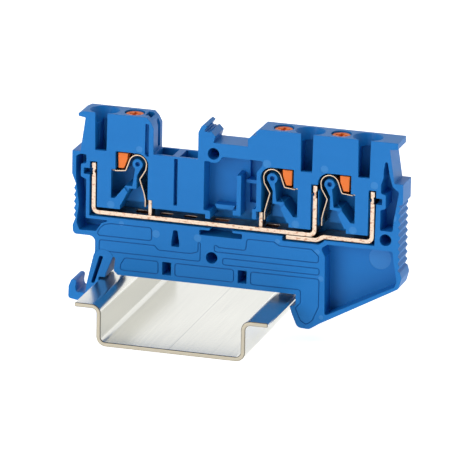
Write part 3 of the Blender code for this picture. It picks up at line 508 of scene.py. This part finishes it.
class Bench:
    """Modelling steps by operator, each on one piece."""

    @staticmethod
    def only(*pieces: bpy.types.Object) -> None:
        """Selects these pieces alone and makes the first one active."""
        bpy.ops.object.select_all(action="DESELECT")
        for piece in pieces:
            piece.select_set(True)
        bpy.context.view_layer.objects.active = pieces[0]

    @staticmethod
    def edit(piece: bpy.types.Object) -> None:
        """Opens one piece in edit mode with everything selected."""
        Bench.only(piece)
        bpy.ops.object.mode_set(mode="EDIT")
        bpy.ops.mesh.select_all(action="SELECT")

    @staticmethod
    def close() -> None:
        """Leaves edit mode."""
        bpy.ops.object.mode_set(mode="OBJECT")

    @staticmethod
    def deselect_inside(piece: bpy.types.Object) -> None:
        """Clears the piece's selection of points, edges and faces."""
        for kind in (piece.data.vertices, piece.data.edges, piece.data.polygons):
            for item in kind:
                item.select = False

    @staticmethod
    def node_copy(node: str, name: str) -> bpy.types.Object:
        """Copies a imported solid, welds its loose triangles and joins its flat faces.

        Args:
            node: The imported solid's name.
            name: The new piece's name.

        Returns:
            The new piece, standing in the same place.
        """
        source = frame["nodes"][node]
        piece = bpy.data.objects.new(name, source.data.copy())
        piece.data.name = name
        piece.data.materials.clear()
        bpy.context.scene.collection.objects.link(piece)
        Bench.only(piece)
        bpy.ops.mesh.customdata_custom_splitnormals_clear()
        Bench.edit(piece)
        bpy.ops.mesh.remove_doubles(threshold=WELD)
        bpy.ops.mesh.dissolve_limited(angle_limit=math.radians(FLAT_ANGLE))
        bpy.ops.mesh.normals_make_consistent(inside=False)
        Bench.close()
        return piece

    @staticmethod
    def merge_slivers(piece: bpy.types.Object, width: float) -> None:
        """Merges points closer than a width, so that no narrow sliver is left to round."""
        Bench.edit(piece)
        bpy.ops.mesh.remove_doubles(threshold=width)
        bpy.ops.mesh.dissolve_limited(angle_limit=math.radians(FLAT_ANGLE))
        Bench.close()

    @staticmethod
    def apply(piece: bpy.types.Object, kind: str, **settings: Any) -> None:
        """Adds a modifier, gives it its settings and applies it.

        Args:
            piece: The piece to change.
            kind: The modifier's type.
            settings: Its settings.
        """
        modifier = piece.modifiers.new(kind.title(), kind)
        for name, value in settings.items():
            setattr(modifier, name, value)
        Bench.only(piece)
        bpy.ops.object.modifier_apply(modifier=modifier.name)

    @staticmethod
    def round_edges(
        piece: bpy.types.Object, width: float, segments: int, angle: float = CORNER_ANGLE
    ) -> None:
        """Rounds every edge that is sharper than an angle.

        Args:
            piece: The piece to change.
            width: How far the rounding reaches from the edge.
            segments: Its steps.
            angle: The least angle between the faces, in degrees.
        """
        Bench.apply(
            piece, "BEVEL", width=width, segments=segments, limit_method="ANGLE",
            angle_limit=math.radians(angle), use_clamp_overlap=False, miter_outer="MITER_ARC",
        )

    @staticmethod
    def weigh_corners(piece: bpy.types.Object, angle: float = CORNER_ANGLE) -> None:
        """Marks the edges that are sharper than an angle for rounding later.

        Args:
            piece: The piece to mark.
            angle: The least angle between the faces, in degrees.
        """
        Bench.edit(piece)
        bpy.ops.mesh.select_mode(type="EDGE")
        bpy.ops.mesh.select_all(action="DESELECT")
        bpy.ops.mesh.edges_select_sharp(sharpness=math.radians(angle))
        bpy.ops.transform.edge_bevelweight(value=1.0)
        Bench.close()

    @staticmethod
    def crossings(mesh: bpy.types.Mesh) -> list[Vector]:
        """Finds where the outline of a many-sided face runs across itself.

        Args:
            mesh: The mesh to look through.

        Returns:
            The places of the crossings.
        """
        found: list[Vector] = []
        for face in mesh.polygons:
            if len(face.vertices) < LEAST_SIDES:
                continue
            drop = max(range(3), key=lambda axis: abs(face.normal[axis]))
            ring = [mesh.vertices[i].co for i in face.vertices]
            start = np.delete(np.array(ring), drop, axis=1)
            run = np.roll(start, -1, axis=0) - start
            apart = start[None] - start[:, None]
            turn = run[:, None, 0] * run[None, :, 1] - run[:, None, 1] * run[None, :, 0]
            with np.errstate(divide="ignore", invalid="ignore"):
                along = (apart[..., 0] * run[None, :, 1] - apart[..., 1] * run[None, :, 0]) / turn
                other = (apart[..., 0] * run[:, None, 1] - apart[..., 1] * run[:, None, 0]) / turn
            hit = (along > 0) & (along < 1) & (other > 0) & (other < 1)
            for i, j in np.argwhere(np.triu(hit, 2)):
                found.append(ring[i].lerp(ring[(i + 1) % len(ring)], float(along[i, j])))
        return found

    @staticmethod
    def unweigh(piece: bpy.types.Object, spots: Sequence[Vector], reach: float) -> None:
        """Takes the rounding mark off the edges that pass close to some places.

        Args:
            piece: The piece.
            spots: The places.
            reach: How near an edge has to pass.
        """
        weights = piece.data.attributes["bevel_weight_edge"].data
        points = np.array([v.co for v in piece.data.vertices])
        ends = np.array([e.vertices[:] for e in piece.data.edges])
        start = points[ends[:, 0]]
        run = points[ends[:, 1]] - start
        length = np.maximum((run * run).sum(axis=1), TINY)
        for spot in spots:
            along = np.clip(((np.array(spot) - start) * run).sum(axis=1) / length, 0, 1)
            apart = np.linalg.norm(start + along[:, None] * run - np.array(spot), axis=1)
            for index in np.nonzero(apart < reach)[0]:
                weights[int(index)].value = 0.0
        piece.data.update()
        piece.update_tag()

    @staticmethod
    def round_weighed(piece: bpy.types.Object, width: float, segments: int = 2) -> None:
        """Rounds the marked edges, except where a rounding has no room beside its neighbour.

        Args:
            piece: The piece to change.
            width: How far the rounding reaches from the edge.
            segments: Its steps.
        """
        bevel = piece.modifiers.new("Rounding", "BEVEL")
        bevel.width = width
        bevel.segments = segments
        bevel.limit_method = "WEIGHT"
        bevel.use_clamp_overlap = False
        bevel.miter_outer = "MITER_ARC"
        for _ in range(MOST_TRIES):
            view = bpy.context.evaluated_depsgraph_get()
            view.update()
            spots = Bench.crossings(piece.evaluated_get(view).data)
            if not spots:
                break
            LOG.info("%s: %d places have no room for the rounding", piece.name, len(spots))
            Bench.unweigh(piece, spots, CROWDED * width)
        Bench.only(piece)
        bpy.ops.object.modifier_apply(modifier=bevel.name)

    @staticmethod
    def cut(piece: bpy.types.Object, tool: bpy.types.Object, look: bpy.types.Material) -> None:
        """Cuts the tool's shape out of the piece, leaves a finish on the cut and removes the tool.

        Args:
            piece: The piece to cut.
            tool: The shape that goes.
            look: The finish of the cut faces.
        """
        tool.data.materials.clear()
        tool.data.materials.append(look)
        Bench.apply(
            piece, "BOOLEAN", object=tool, operation="DIFFERENCE", solver="EXACT",
            material_mode="TRANSFER",
        )
        bpy.data.objects.remove(tool, do_unlink=True)

    @staticmethod
    def join(pieces: Sequence[bpy.types.Object]) -> bpy.types.Object:
        """Joins pieces into the first one and returns it."""
        Bench.only(*pieces)
        bpy.ops.object.join()
        return pieces[0]

    @staticmethod
    def soften(piece: bpy.types.Object, angle: float = 40) -> None:
        """Shades a piece smooth up to an angle, and keeps its flat faces flat.

        Args:
            piece: The piece to shade.
            angle: The largest angle that is smoothed, in degrees.
        """
        Bench.only(piece)
        bpy.ops.object.shade_smooth_by_angle(angle=math.radians(angle))
        Bench.apply(piece, "WEIGHTED_NORMAL", weight=90, keep_sharp=True)

    @staticmethod
    def coat(piece: bpy.types.Object, look: Any) -> None:
        """Covers a piece with its own copy of a finish, in place of any it has."""
        made = look.make()
        made.name = f"{look.name}_{piece.name}"
        piece.data.materials.clear()
        piece.data.materials.append(made)

    @staticmethod
    def dress(piece: bpy.types.Object, look: Any, body: str, slot: str) -> None:
        """Gives a piece its own material and its body.

        Args:
            piece: The finished piece.
            look: A finish with a make method.
            body: The moving body it rides on.
            slot: The record's material slot; not used.
        """
        Bench.coat(piece, look)
        Bench.settle(piece, body, slot)

    @staticmethod
    def settle(piece: bpy.types.Object, body: str, slot: str) -> None:
        """Puts a finished piece on its body."""
        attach(piece, body)
        LOG.info("%s: %d faces, rides on %s", piece.name, len(piece.data.polygons), body)

    @staticmethod
    def disc(centre: Point, radius: float, front: float, depth: float) -> bpy.types.Object:
        """A round tool that looks along Y and reaches a depth behind the front face.

        Args:
            centre: Its place in X and Z.
            radius: Its radius.
            front: The front face's Y.
            depth: How deep it goes.

        Returns:
            The tool.
        """
        bpy.ops.object.select_all(action="DESELECT")
        bpy.ops.mesh.primitive_cylinder_add(
            vertices=32, radius=radius, depth=2 * depth, location=(centre[0], front, centre[1]),
            rotation=(math.pi / 2, 0, 0),
        )
        bpy.ops.object.transform_apply(location=True, rotation=True, scale=True)
        return bpy.context.object

    @staticmethod
    def groove(points: Sequence[Point], radius: float, level: float) -> bpy.types.Object:
        """A thin round tool that follows a ring on a face that looks along Y.

        Args:
            points: The ring, in X and Z.
            radius: Half the groove's width.
            level: The face's Y.

        Returns:
            The tool.
        """
        line = bpy.data.curves.new("groove", "CURVE")
        line.dimensions = "3D"
        line.bevel_depth = radius
        line.bevel_resolution = 1
        spline = line.splines.new("POLY")
        spline.points.add(len(points) - 1)
        for knot, (x, z) in zip(spline.points, points):
            knot.co = (x, level, z, 1.0)
        spline.use_cyclic_u = True
        tool = bpy.data.objects.new("groove", line)
        bpy.context.scene.collection.objects.link(tool)
        Bench.only(tool)
        bpy.ops.object.convert(target="MESH")
        Bench.edit(tool)
        bpy.ops.mesh.normals_make_consistent(inside=False)
        Bench.close()
        return tool

    @staticmethod
    def strip(
        line: Sequence[Point], near: float, far: float, sheet: float, name: str
    ) -> bpy.types.Object:
        """A bent strip of sheet, extruded edge by edge along its middle line.

        Args:
            line: The middle line, in X and Z.
            near: The strip's first Y.
            far: Its last Y.
            sheet: Its thickness.
            name: The piece's name.

        Returns:
            The piece.
        """
        bpy.ops.object.select_all(action="DESELECT")
        middle = (near + far) / 2
        bpy.ops.mesh.primitive_plane_add(size=far - near, location=(line[0][0], middle, line[0][1]))
        piece = bpy.context.object
        piece.name = piece.data.name = name
        bpy.ops.object.transform_apply(location=True, rotation=True, scale=True)
        first = {v.index for v in piece.data.vertices if v.co.x < line[0][0]}
        for vertex in piece.data.vertices:
            vertex.co.x, vertex.co.z = line[0] if vertex.index in first else line[1]
        Bench.deselect_inside(piece)
        for edge in piece.data.edges:
            edge.select = not first.intersection(edge.vertices)
        Bench.only(piece)
        bpy.ops.object.mode_set(mode="EDIT")
        bpy.ops.mesh.select_mode(type="EDGE")
        for before, after in zip(line[1:], line[2:]):
            step = (after[0] - before[0], 0.0, after[1] - before[1])
            bpy.ops.mesh.extrude_region_move(TRANSFORM_OT_translate={"value": step})
        Bench.close()
        Bench.apply(piece, "SOLIDIFY", thickness=sheet, offset=0.0, use_even_offset=True)
        Bench.edit(piece)
        bpy.ops.mesh.normals_make_consistent(inside=False)
        Bench.close()
        return piece


def joint_place(name: str) -> Point:
    """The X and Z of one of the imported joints, in metres."""
    joint = next(j for j in frame["joints"] if j["name"] == name)
    return joint["pos_m"][0], joint["pos_m"][2]


def in_mm(points: Iterable[Point]) -> list[Point]:
    """The same points, from millimetres to metres."""
    return [(x * MM, z * MM) for x, z in points]


def arc(centre: Point, radius: float, start: float, end: float, steps: int) -> list[Point]:
    """Points on part of a circle.

    Args:
        centre: The circle's middle.
        radius: Its radius.
        start: The first angle in degrees, 0 towards +X and 90 towards +Z.
        end: The last angle.
        steps: How many steps lie between them.

    Returns:
        The points, ends included.
    """
    turns = [math.radians(start + (end - start) * i / steps) for i in range(steps + 1)]
    return [(centre[0] + radius * math.cos(t), centre[1] + radius * math.sin(t)) for t in turns]


def rounded(points: Sequence[Point], radius: float, closed: bool = True, steps: int = 4) -> list[Point]:
    """A line with its corners replaced by arcs.

    Args:
        points: The corners.
        radius: The largest radius of an arc.
        closed: Whether the line is a ring.
        steps: The steps in each arc.

    Returns:
        The new line.
    """
    count = len(points)
    line: list[Point] = []
    for i, here in enumerate(points):
        if not closed and i in (0, count - 1):
            line.append(here)
            continue
        corner = Vector(here)
        before = Vector(points[i - 1]) - corner
        after = Vector(points[(i + 1) % count]) - corner
        half = before.angle(after) / 2
        if half > math.radians(86):
            line.append(here)
            continue
        reach = min(radius / math.tan(half), 0.45 * before.length, 0.45 * after.length)
        used = reach * math.tan(half)
        inward = (before.normalized() + after.normalized()).normalized()
        middle = corner + inward * used / math.sin(half)
        first = corner + before.normalized() * reach - middle
        last = corner + after.normalized() * reach - middle
        swing = math.atan2(first.x * last.y - first.y * last.x, first.dot(last))
        for k in range(steps + 1):
            turn = Matrix.Rotation(swing * k / steps, 2)
            line.append(tuple(middle + turn @ first))
    return line


# ---------------------------------------------------------------- the block's pieces


@dataclass
class Rail:
    """The short length of top-hat rail."""

    edge: float = 0.22 * MM
    # The last colour is the dark line painted along the rounded edges as reflection.
    look: PassivatedSteel = PassivatedSteel(
        "zinc_sheet", (0.78, 0.77, 0.71), (0.48, 0.48, 0.46), (0.50, 0.45, 0.35), (0.10, 0.085, 0.06),
        -0.3 * MM,
    )

    def build(self) -> bpy.types.Object:
        """Rounds the sheet's edges.

        Returns:
            The rail.
        """
        piece = Bench.node_copy("din_rail", "rail_sheet")
        Bench.round_edges(piece, self.edge, 3, CUT_END_ANGLE)
        Bench.soften(piece)
        return piece

    def dress(self, piece: bpy.types.Object) -> None:
        """Gives the rail its zinc."""
        Bench.dress(piece, self.look, Body.RAIL.value, "din_rail")
        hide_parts("din_rail")


@dataclass
class Housing:
    """The moulded body with its panel outlines and the marks of the ejector pins; the outline grooves
    are painted a darker blue as shade.
    """

    edge: float = 0.07 * MM
    sliver: float = 0.03 * MM
    line: float = 0.11 * MM
    mark: float = 0.035 * MM
    look: MouldedPlastic = BLUE_POLYAMIDE
    # Painted shade: a darker blue for the narrow outline grooves.
    groove_shade_look: MouldedPlastic = MouldedPlastic(
        "blue_groove", (0.002, 0.090, 0.310), (0.006, 0.120, 0.380)
    )
    mark_look: MouldedPlastic = MouldedPlastic(
        "blue_ejector_mark", (0.022, 0.190, 0.500), (0.050, 0.240, 0.590), 0.34
    )
    pins: tuple[tuple[float, float, float], ...] = (
        (-15.75, 21.2, 0.70), (17.9, 21.2, 0.70), (28.25, 21.2, 0.70), (35.4, 24.2, 0.65),
        (12.55, 31.6, 0.75), (22.9, 31.7, 0.70), (31.9, 29.7, 0.70), (-10.7, 31.8, 0.60),
        (0.2, 16.8, 0.70), (-7.4, 16.75, 0.70), (14.7, 17.75, 0.45), (-13.75, 17.95, 0.45),
        (22.7, 11.8, 0.50), (22.9, 4.8, 0.40), (21.9, 16.6, 0.50),
    )
    panel_corner: float = 0.45 * MM
    panels: tuple[tuple[Point, ...], ...] = (
        ((-15.7, 17.75), (-8.2, 17.75), (-8.2, 15.4), (-18.3, 15.4), (-17.7, 16.7), (-16.8, 17.5)),
        ((-17.75, 14.6), (-7.6, 14.6), (-6.9, 13.85), (-1.0, 13.85), (0.35, 14.3), (0.35, 16.0),
         (0.75, 16.0), (0.75, 12.6), (-17.75, 12.6)),
        ((-13.0, 11.75), (-6.9, 11.75), (-6.9, 9.45), (-13.9, 9.45), (-13.7, 10.6)),
        ((-3.8, 11.75), (6.9, 11.75), (6.9, 9.45), (-3.8, 9.45)),
        ((10.0, 11.7), (22.4, 11.7), (22.4, 6.6), (21.3, 4.0), (20.2, 3.2), (19.2, 3.8), (18.2, 6.0),
         (19.1, 7.0), (19.1, 9.4), (10.0, 9.4)),
        ((4.85, 13.65), (22.4, 13.65), (22.4, 12.45), (4.85, 12.45)),
        ((3.3, 16.0), (4.2, 15.5), (9.0, 15.5), (9.2, 17.6), (14.1, 17.6), (15.1, 17.0), (20.9, 17.0),
         (22.2, 15.9), (22.2, 14.65), (3.3, 14.65)),
    )
    toe_mark: tuple[float, float, float] = (32.3, 15.55, 2.0)
    toe_floor: float = 1.0 * MM
    back_pins: tuple[tuple[float, float, float], ...] = (
        (-15.9, 33.6, 0.9), (-12.2, 14.2, 0.9), (3.4, 11.2, 0.9), (19.6, 11.4, 0.9), (33.4, 14.6, 0.9),
        (33.0, 32.4, 0.9), (15.2, 33.4, 0.9), (-3.9, 20.3, 0.9), (8.6, 20.3, 1.3), (20.6, 24.6, 0.9),
    )
    back_corner: float = 0.9 * MM
    back_panels: tuple[tuple[Point, ...], ...] = (
        ((-17.6, 12.6), (22.6, 12.6), (22.6, 9.6), (-13.6, 9.6)),
        ((-17.3, 17.4), (30.4, 17.4), (30.4, 14.2), (-17.3, 14.2)),
    )

    def build(self) -> bpy.types.Object:
        """Cuts the outlines and the pin marks, then rounds the edges.

        Returns:
            The housing.
        """
        front, back = (corner.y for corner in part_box("housing"))
        piece = Bench.node_copy("housing", "housing_shell")
        Bench.coat(piece, self.look)
        # The outline grooves take the darker blue, which is painted shade; the pin marks take their own
        # blue.
        shaded, polished = self.groove_shade_look.make(), self.mark_look.make()
        Bench.merge_slivers(piece, self.sliver)
        Bench.weigh_corners(piece)
        for panels, corner, y in (
            (self.panels, self.panel_corner, front), (self.back_panels, self.back_corner, back)
        ):
            lines = [rounded(in_mm(panel), corner) for panel in panels]
            tools = [Bench.groove(line, self.line, y) for line in lines]
            Bench.cut(piece, Bench.join(tools), shaded)
        marks = [(pin, front) for pin in self.pins] + [(pin, back) for pin in self.back_pins]
        marks.append((self.toe_mark, self.toe_floor))
        discs = [Bench.disc((x * MM, z * MM), r * MM, y, self.mark) for (x, z, r), y in marks]
        Bench.cut(piece, Bench.join(discs), polished)
        Bench.round_weighed(piece, self.edge)
        Bench.soften(piece)
        return piece

    def dress(self, piece: bpy.types.Object) -> None:
        """Puts the housing on the block; its finishes came with the cuts."""
        Bench.settle(piece, Body.BLOCK.value, "housing")
        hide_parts("housing")


@dataclass
class Latch:
    """The springy foot that holds the rail's flange, moulded on to the housing at its root."""

    edge: float = 0.10 * MM
    root: float = 0.19 * MM
    root_reach: float = 1.7 * MM
    still_above: float = 0.9 * MM
    bent_below: float = 0.4 * MM
    look: MouldedPlastic = BLUE_POLYAMIDE
    pivot: Vector = field(init=False)

    def __post_init__(self) -> None:
        """Reads the root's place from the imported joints."""
        x, z = joint_place("latch_flex")
        self.pivot = Vector((x, 0.0, z))

    def build(self) -> bpy.types.Object:
        """Grows the foot's round root up to the housing and rounds the other edges.

        Returns:
            The foot.
        """
        piece = Bench.node_copy("rail_latch", "latch_foot")
        Bench.weigh_corners(piece)
        weights = piece.data.attributes["bevel_weight_edge"].data
        for vertex in piece.data.vertices:
            arm = vertex.co - self.pivot
            arm.y = 0.0
            vertex.select = arm.z > 0.0 and arm.length > self.root_reach
            if vertex.select:
                vertex.co += arm.normalized() * self.root
        for edge in piece.data.edges:
            if all(piece.data.vertices[i].select for i in edge.vertices):
                weights[edge.index].value = 0.0
        Bench.round_weighed(piece, self.edge, 3)
        Bench.soften(piece)
        return piece

    def dress(self, piece: bpy.types.Object) -> None:
        """Gives the foot its blue polyamide."""
        Bench.coat(piece, self.look)
        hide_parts("rail_latch")
        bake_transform(piece)
        LOG.info("%s: %d faces, bends at its root", piece.name, len(piece.data.polygons))


@dataclass
class CurrentBars:
    """The long bar and the short one that links it to the right-hand leg."""

    edge: float = 0.10 * MM
    corner: float = 40.0
    sheet: float = 0.75 * MM
    neck_drop: float = 1.55 * MM
    neck_radius: float = 0.45 * MM
    neck_bite: float = 0.20 * MM
    nodes: tuple[str, ...] = ("busbar_main", "busbar_link")
    # The last colour is the dark line painted along the rounded edges as reflection; the holes' walls
    # keep their near-black painted shade.
    look: TinnedCopper = TinnedCopper(
        "tinned_copper", (0.62, 0.45, 0.34), (0.80, 0.63, 0.49), (0.50, 0.22, 0.12), (0.17, 0.075, 0.05)
    )

    def neck_tools(self, node: str) -> bpy.types.Object:
        """The round tools that waist a bar's upright legs just under their tips.

        Args:
            node: The bar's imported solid.

        Returns:
            The tools, joined.
        """
        low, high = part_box(node)
        level = high.z - self.neck_drop
        out = self.neck_radius - self.neck_bite
        sides = [leg + way for leg in (low.x, high.x - self.sheet) for way in (-out, self.sheet + out)]
        width = high.y - low.y + self.sheet
        return Bench.join([Bench.disc((x, level), self.neck_radius, low.y, width) for x in sides])

    def build(self) -> list[bpy.types.Object]:
        """Waists the legs under their tips and rounds the bars' edges.

        Returns:
            The two bars.
        """
        made = []
        for node in self.nodes:
            piece = Bench.node_copy(node, node + "_strip")
            Bench.coat(piece, self.look)
            Bench.cut(piece, self.neck_tools(node), piece.data.materials[0])
            Bench.weigh_corners(piece, self.corner)
            Bench.round_weighed(piece, self.edge)
            Bench.soften(piece, METAL_ANGLE)
            made.append(piece)
        return made

    def dress(self, pieces: Sequence[bpy.types.Object]) -> None:
        """Puts the bars on the block; their tin and copper came before the cuts."""
        for piece, node in zip(pieces, self.nodes):
            Bench.settle(piece, Body.BLOCK.value, node)
            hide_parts(node)


@dataclass
class ClampUnit:
    """One push-in point: its spring, bent from one strip, and its push button."""

    name: str
    side: Side
    tab: float
    leg: float
    radius: float = 1.6 * MM
    sheet: float = 0.20 * MM
    front: float = 0.45 * MM
    width: float = 3.7 * MM
    lug_gap: float = 0.44 * MM
    leg_gap: float = 0.725 * MM
    blade_inset: float = 0.55 * MM
    spring_edge: float = 0.05 * MM
    button_edge: float = 0.10 * MM
    still_until: float = 0.2 * MM
    turned_after: float = 1.7 * MM
    # The last colour is the dark line painted along the rounded edges as reflection.
    steel: SpringSteel = SpringSteel(
        "spring_steel", (0.46, 0.37, 0.27), (0.68, 0.52, 0.38), (0.12, 0.09, 0.07)
    )
    orange: MouldedPlastic = MouldedPlastic(
        "orange_polyamide", (0.740, 0.150, 0.022), (0.850, 0.225, 0.050), 0.38
    )
    boss: Point = field(init=False)

    def __post_init__(self) -> None:
        """Reads the boss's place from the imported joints."""
        self.boss = joint_place(f"tongue_{self.name}_turn")

    def at(self, outward: float, up: float) -> Point:
        """A point given outward from the boss towards the wire, and up."""
        return (self.boss[0] + self.side.value * outward, self.boss[1] + up)

    def middle_line(self) -> list[Point]:
        """The spring's middle line, from the foot beside the lug to the clamping edge.

        Returns:
            The line in X and Z.
        """
        leg = self.lug_gap - self.tab
        foot = [(leg, -7.65 * MM), (leg, -6.3 * MM), (leg + 0.25 * MM, -5.2 * MM),
                (-0.4 * MM, -2.75 * MM), (-1.45 * MM, -1.0 * MM)]
        tip = in_mm([(2.2, -1.42), (4.15, -1.62)])
        bend = arc((0.0, 0.0), self.radius, 182, 18, 26)
        line = rounded([*foot, bend[0]], 0.35 * MM, False)[:-1]
        line += bend + rounded([bend[-1], *tip], 0.35 * MM, False)[1:]
        return [self.at(x, z) for x, z in line]

    def build_spring(self) -> bpy.types.Object:
        """Bends the strip and adds the clamping blade behind the front skin.

        Returns:
            The spring.
        """
        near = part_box("housing")[0].y + self.front
        far = near + self.width
        piece = Bench.strip(self.middle_line(), near, far, self.sheet, "spring_" + self.name)
        end = self.leg - self.leg_gap
        blade = [self.at(3.9 * MM, -1.597 * MM), self.at(end - 0.6 * MM, -1.95 * MM),
                 self.at(end, -2.25 * MM)]
        blade_near, blade_far = near + self.blade_inset, far - 0.02 * MM
        tongue = Bench.strip(blade, blade_near, blade_far, 0.96 * self.sheet, "blade")
        Bench.join([piece, tongue])
        Bench.round_edges(piece, self.spring_edge, 2, CUT_END_ANGLE)
        Bench.soften(piece, METAL_ANGLE)
        return piece

    def build_button(self) -> bpy.types.Object:
        """Rounds the push button's edges.

        Returns:
            The button.
        """
        piece = Bench.node_copy("push_button_" + self.name, "button_" + self.name)
        Bench.round_edges(piece, self.button_edge, 3)
        Bench.soften(piece)
        return piece

    def build(self) -> tuple[bpy.types.Object, bpy.types.Object]:
        """Builds the unit's two pieces."""
        return self.build_spring(), self.build_button()

    def dress(self, spring: bpy.types.Object, button: bpy.types.Object) -> None:
        """Gives the spring its steel and the button its orange polyamide.

        Args:
            spring: The spring.
            button: The push button.
        """
        Bench.coat(spring, self.steel)
        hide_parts("spring_anchor_" + self.name, "spring_tongue_" + self.name)
        start = self.at(self.still_until, 0.0)
        end = self.at(self.turned_after, 0.0)
        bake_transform(spring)
        LOG.info("%s: %d faces, bends with its tongue", spring.name, len(spring.data.polygons))
        Bench.dress(button, self.orange, "button_" + self.name, "push_button_" + self.name)
        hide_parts("push_button_" + self.name)


# ---------------------------------------------------------------- studio


@dataclass
class Studio:
    """The pale floor, the soft lights and the camera."""

    floor_size: float = 8.0
    backdrop: tuple[float, ...] = (-0.5, 0.4, 0.30, 1.20)
    ceiling: tuple[float, ...] = (0.35, 0.9, 1.0, 0.45)
    azimuth: float = 16.502
    elevation: float = 17.300
    roll: float = 1.111
    lens: float = 547.4
    eye: tuple[float, float, float] = (0.334709, -1.112490, 0.379622)
    floor_gap: float = 0.05 * MM
    aim: tuple[float, float, float] = (0.007, 0.0, 0.02)
    boxes: tuple[tuple[str, tuple[float, float, float], float, float], ...] = (
        ("key_box", (-0.55, -0.95, 0.42), 0.7, 6.5),
        ("top_box", (-0.15, -0.25, 0.95), 0.6, 1.2),
    )
    air: tuple[float, float, float] = (0.98, 0.99, 1.0)
    paper: StudioPaper = StudioPaper("studio_paper", (0.93, 0.93, 0.93), 0.72)

    def floor(self) -> None:
        """Lays the floor just under the rail."""
        bpy.ops.object.select_all(action="DESELECT")
        bpy.ops.mesh.primitive_plane_add(size=self.floor_size, location=(0.0, 0.0, -self.floor_gap))
        sheet = bpy.context.object
        sheet.name = "floor"
        sheet.data.materials.append(self.paper.make())

    def sky(self) -> None:
        """Surrounds the scene with soft light: bright behind the block, dim in front and above."""
        world = bpy.data.worlds.new("soft_room")
        bpy.context.scene.world = world
        world.use_nodes = True
        tree = world.node_tree
        where = tree.nodes.new("ShaderNodeTexCoord")
        split = tree.nodes.new("ShaderNodeSeparateXYZ")
        tree.links.new(where.outputs["Generated"], split.inputs[0])
        both = tree.nodes.new("ShaderNodeMath")
        both.operation = "MULTIPLY"
        for place, (axis, *limits) in enumerate((("Y", *self.backdrop), ("Z", *self.ceiling))):
            ramp = tree.nodes.new("ShaderNodeMapRange")
            tree.links.new(split.outputs[axis], ramp.inputs["Value"])
            for socket, limit in zip(("From Min", "From Max", "To Min", "To Max"), limits):
                ramp.inputs[socket].default_value = limit
            tree.links.new(ramp.outputs["Result"], both.inputs[place])
        shade = tree.nodes["Background"]
        shade.inputs["Color"].default_value = (*self.air, 1.0)
        tree.links.new(both.outputs[0], shade.inputs["Strength"])

    def softbox(self, name: str, place: Sequence[float], size: float, power: float) -> None:
        """Hangs one square softbox that looks at the block.

        Args:
            name: The light's name.
            place: Where it hangs.
            size: The length of its sides.
            power: Its power in watts.
        """
        data = bpy.data.lights.new(name, "AREA")
        data.shape = "SQUARE"
        data.size = size
        data.energy = power
        light = bpy.data.objects.new(name, data)
        bpy.context.scene.collection.objects.link(light)
        light.location = place
        aim = Vector(self.aim) - Vector(place)
        light.rotation_euler = aim.to_track_quat("-Z", "Y").to_euler()

    def camera(self) -> None:
        """Sets up the long-lens camera."""
        data = bpy.data.cameras.new("camera")
        data.sensor_width = 36.0
        data.lens = self.lens
        eye = bpy.data.objects.new("camera", data)
        bpy.context.scene.collection.objects.link(eye)
        a, e, r = (math.radians(v) for v in (self.azimuth, self.elevation, self.roll))
        back = Vector((math.sin(a) * math.cos(e), -math.cos(a) * math.cos(e), math.sin(e)))
        level = Vector((math.cos(a), math.sin(a), 0.0))
        right = level * math.cos(r) + back.cross(level) * math.sin(r)
        up = back.cross(right)
        turned = Matrix((right, up, back)).transposed().to_4x4()
        eye.matrix_world = Matrix.Translation(self.eye) @ turned
        bpy.context.scene.camera = eye

    def build(self) -> None:
        """Builds the floor, the light and the camera."""
        self.floor()
        self.sky()
        for box in self.boxes:
            self.softbox(*box)
        self.camera()
        bpy.context.scene.view_settings.view_transform = "Standard"


def main() -> None:
    """Builds and dresses every piece in order, then the studio."""
    logging.basicConfig(level=logging.INFO, format="%(name)s: %(message)s")
    Studio().build()
    for part in (Rail(), Housing(), Latch(), CurrentBars()):
        part.dress(part.build())
    units = (
        ClampUnit("left", Side.LEFT, 1.9 * MM, 7.95 * MM),
        ClampUnit("middle", Side.RIGHT, 1.75 * MM, 7.8 * MM),
        ClampUnit("right", Side.RIGHT, 1.75 * MM, 7.8 * MM),
    )
    for unit in units:
        unit.dress(*unit.build())


if __name__ == "__main__":
    main()
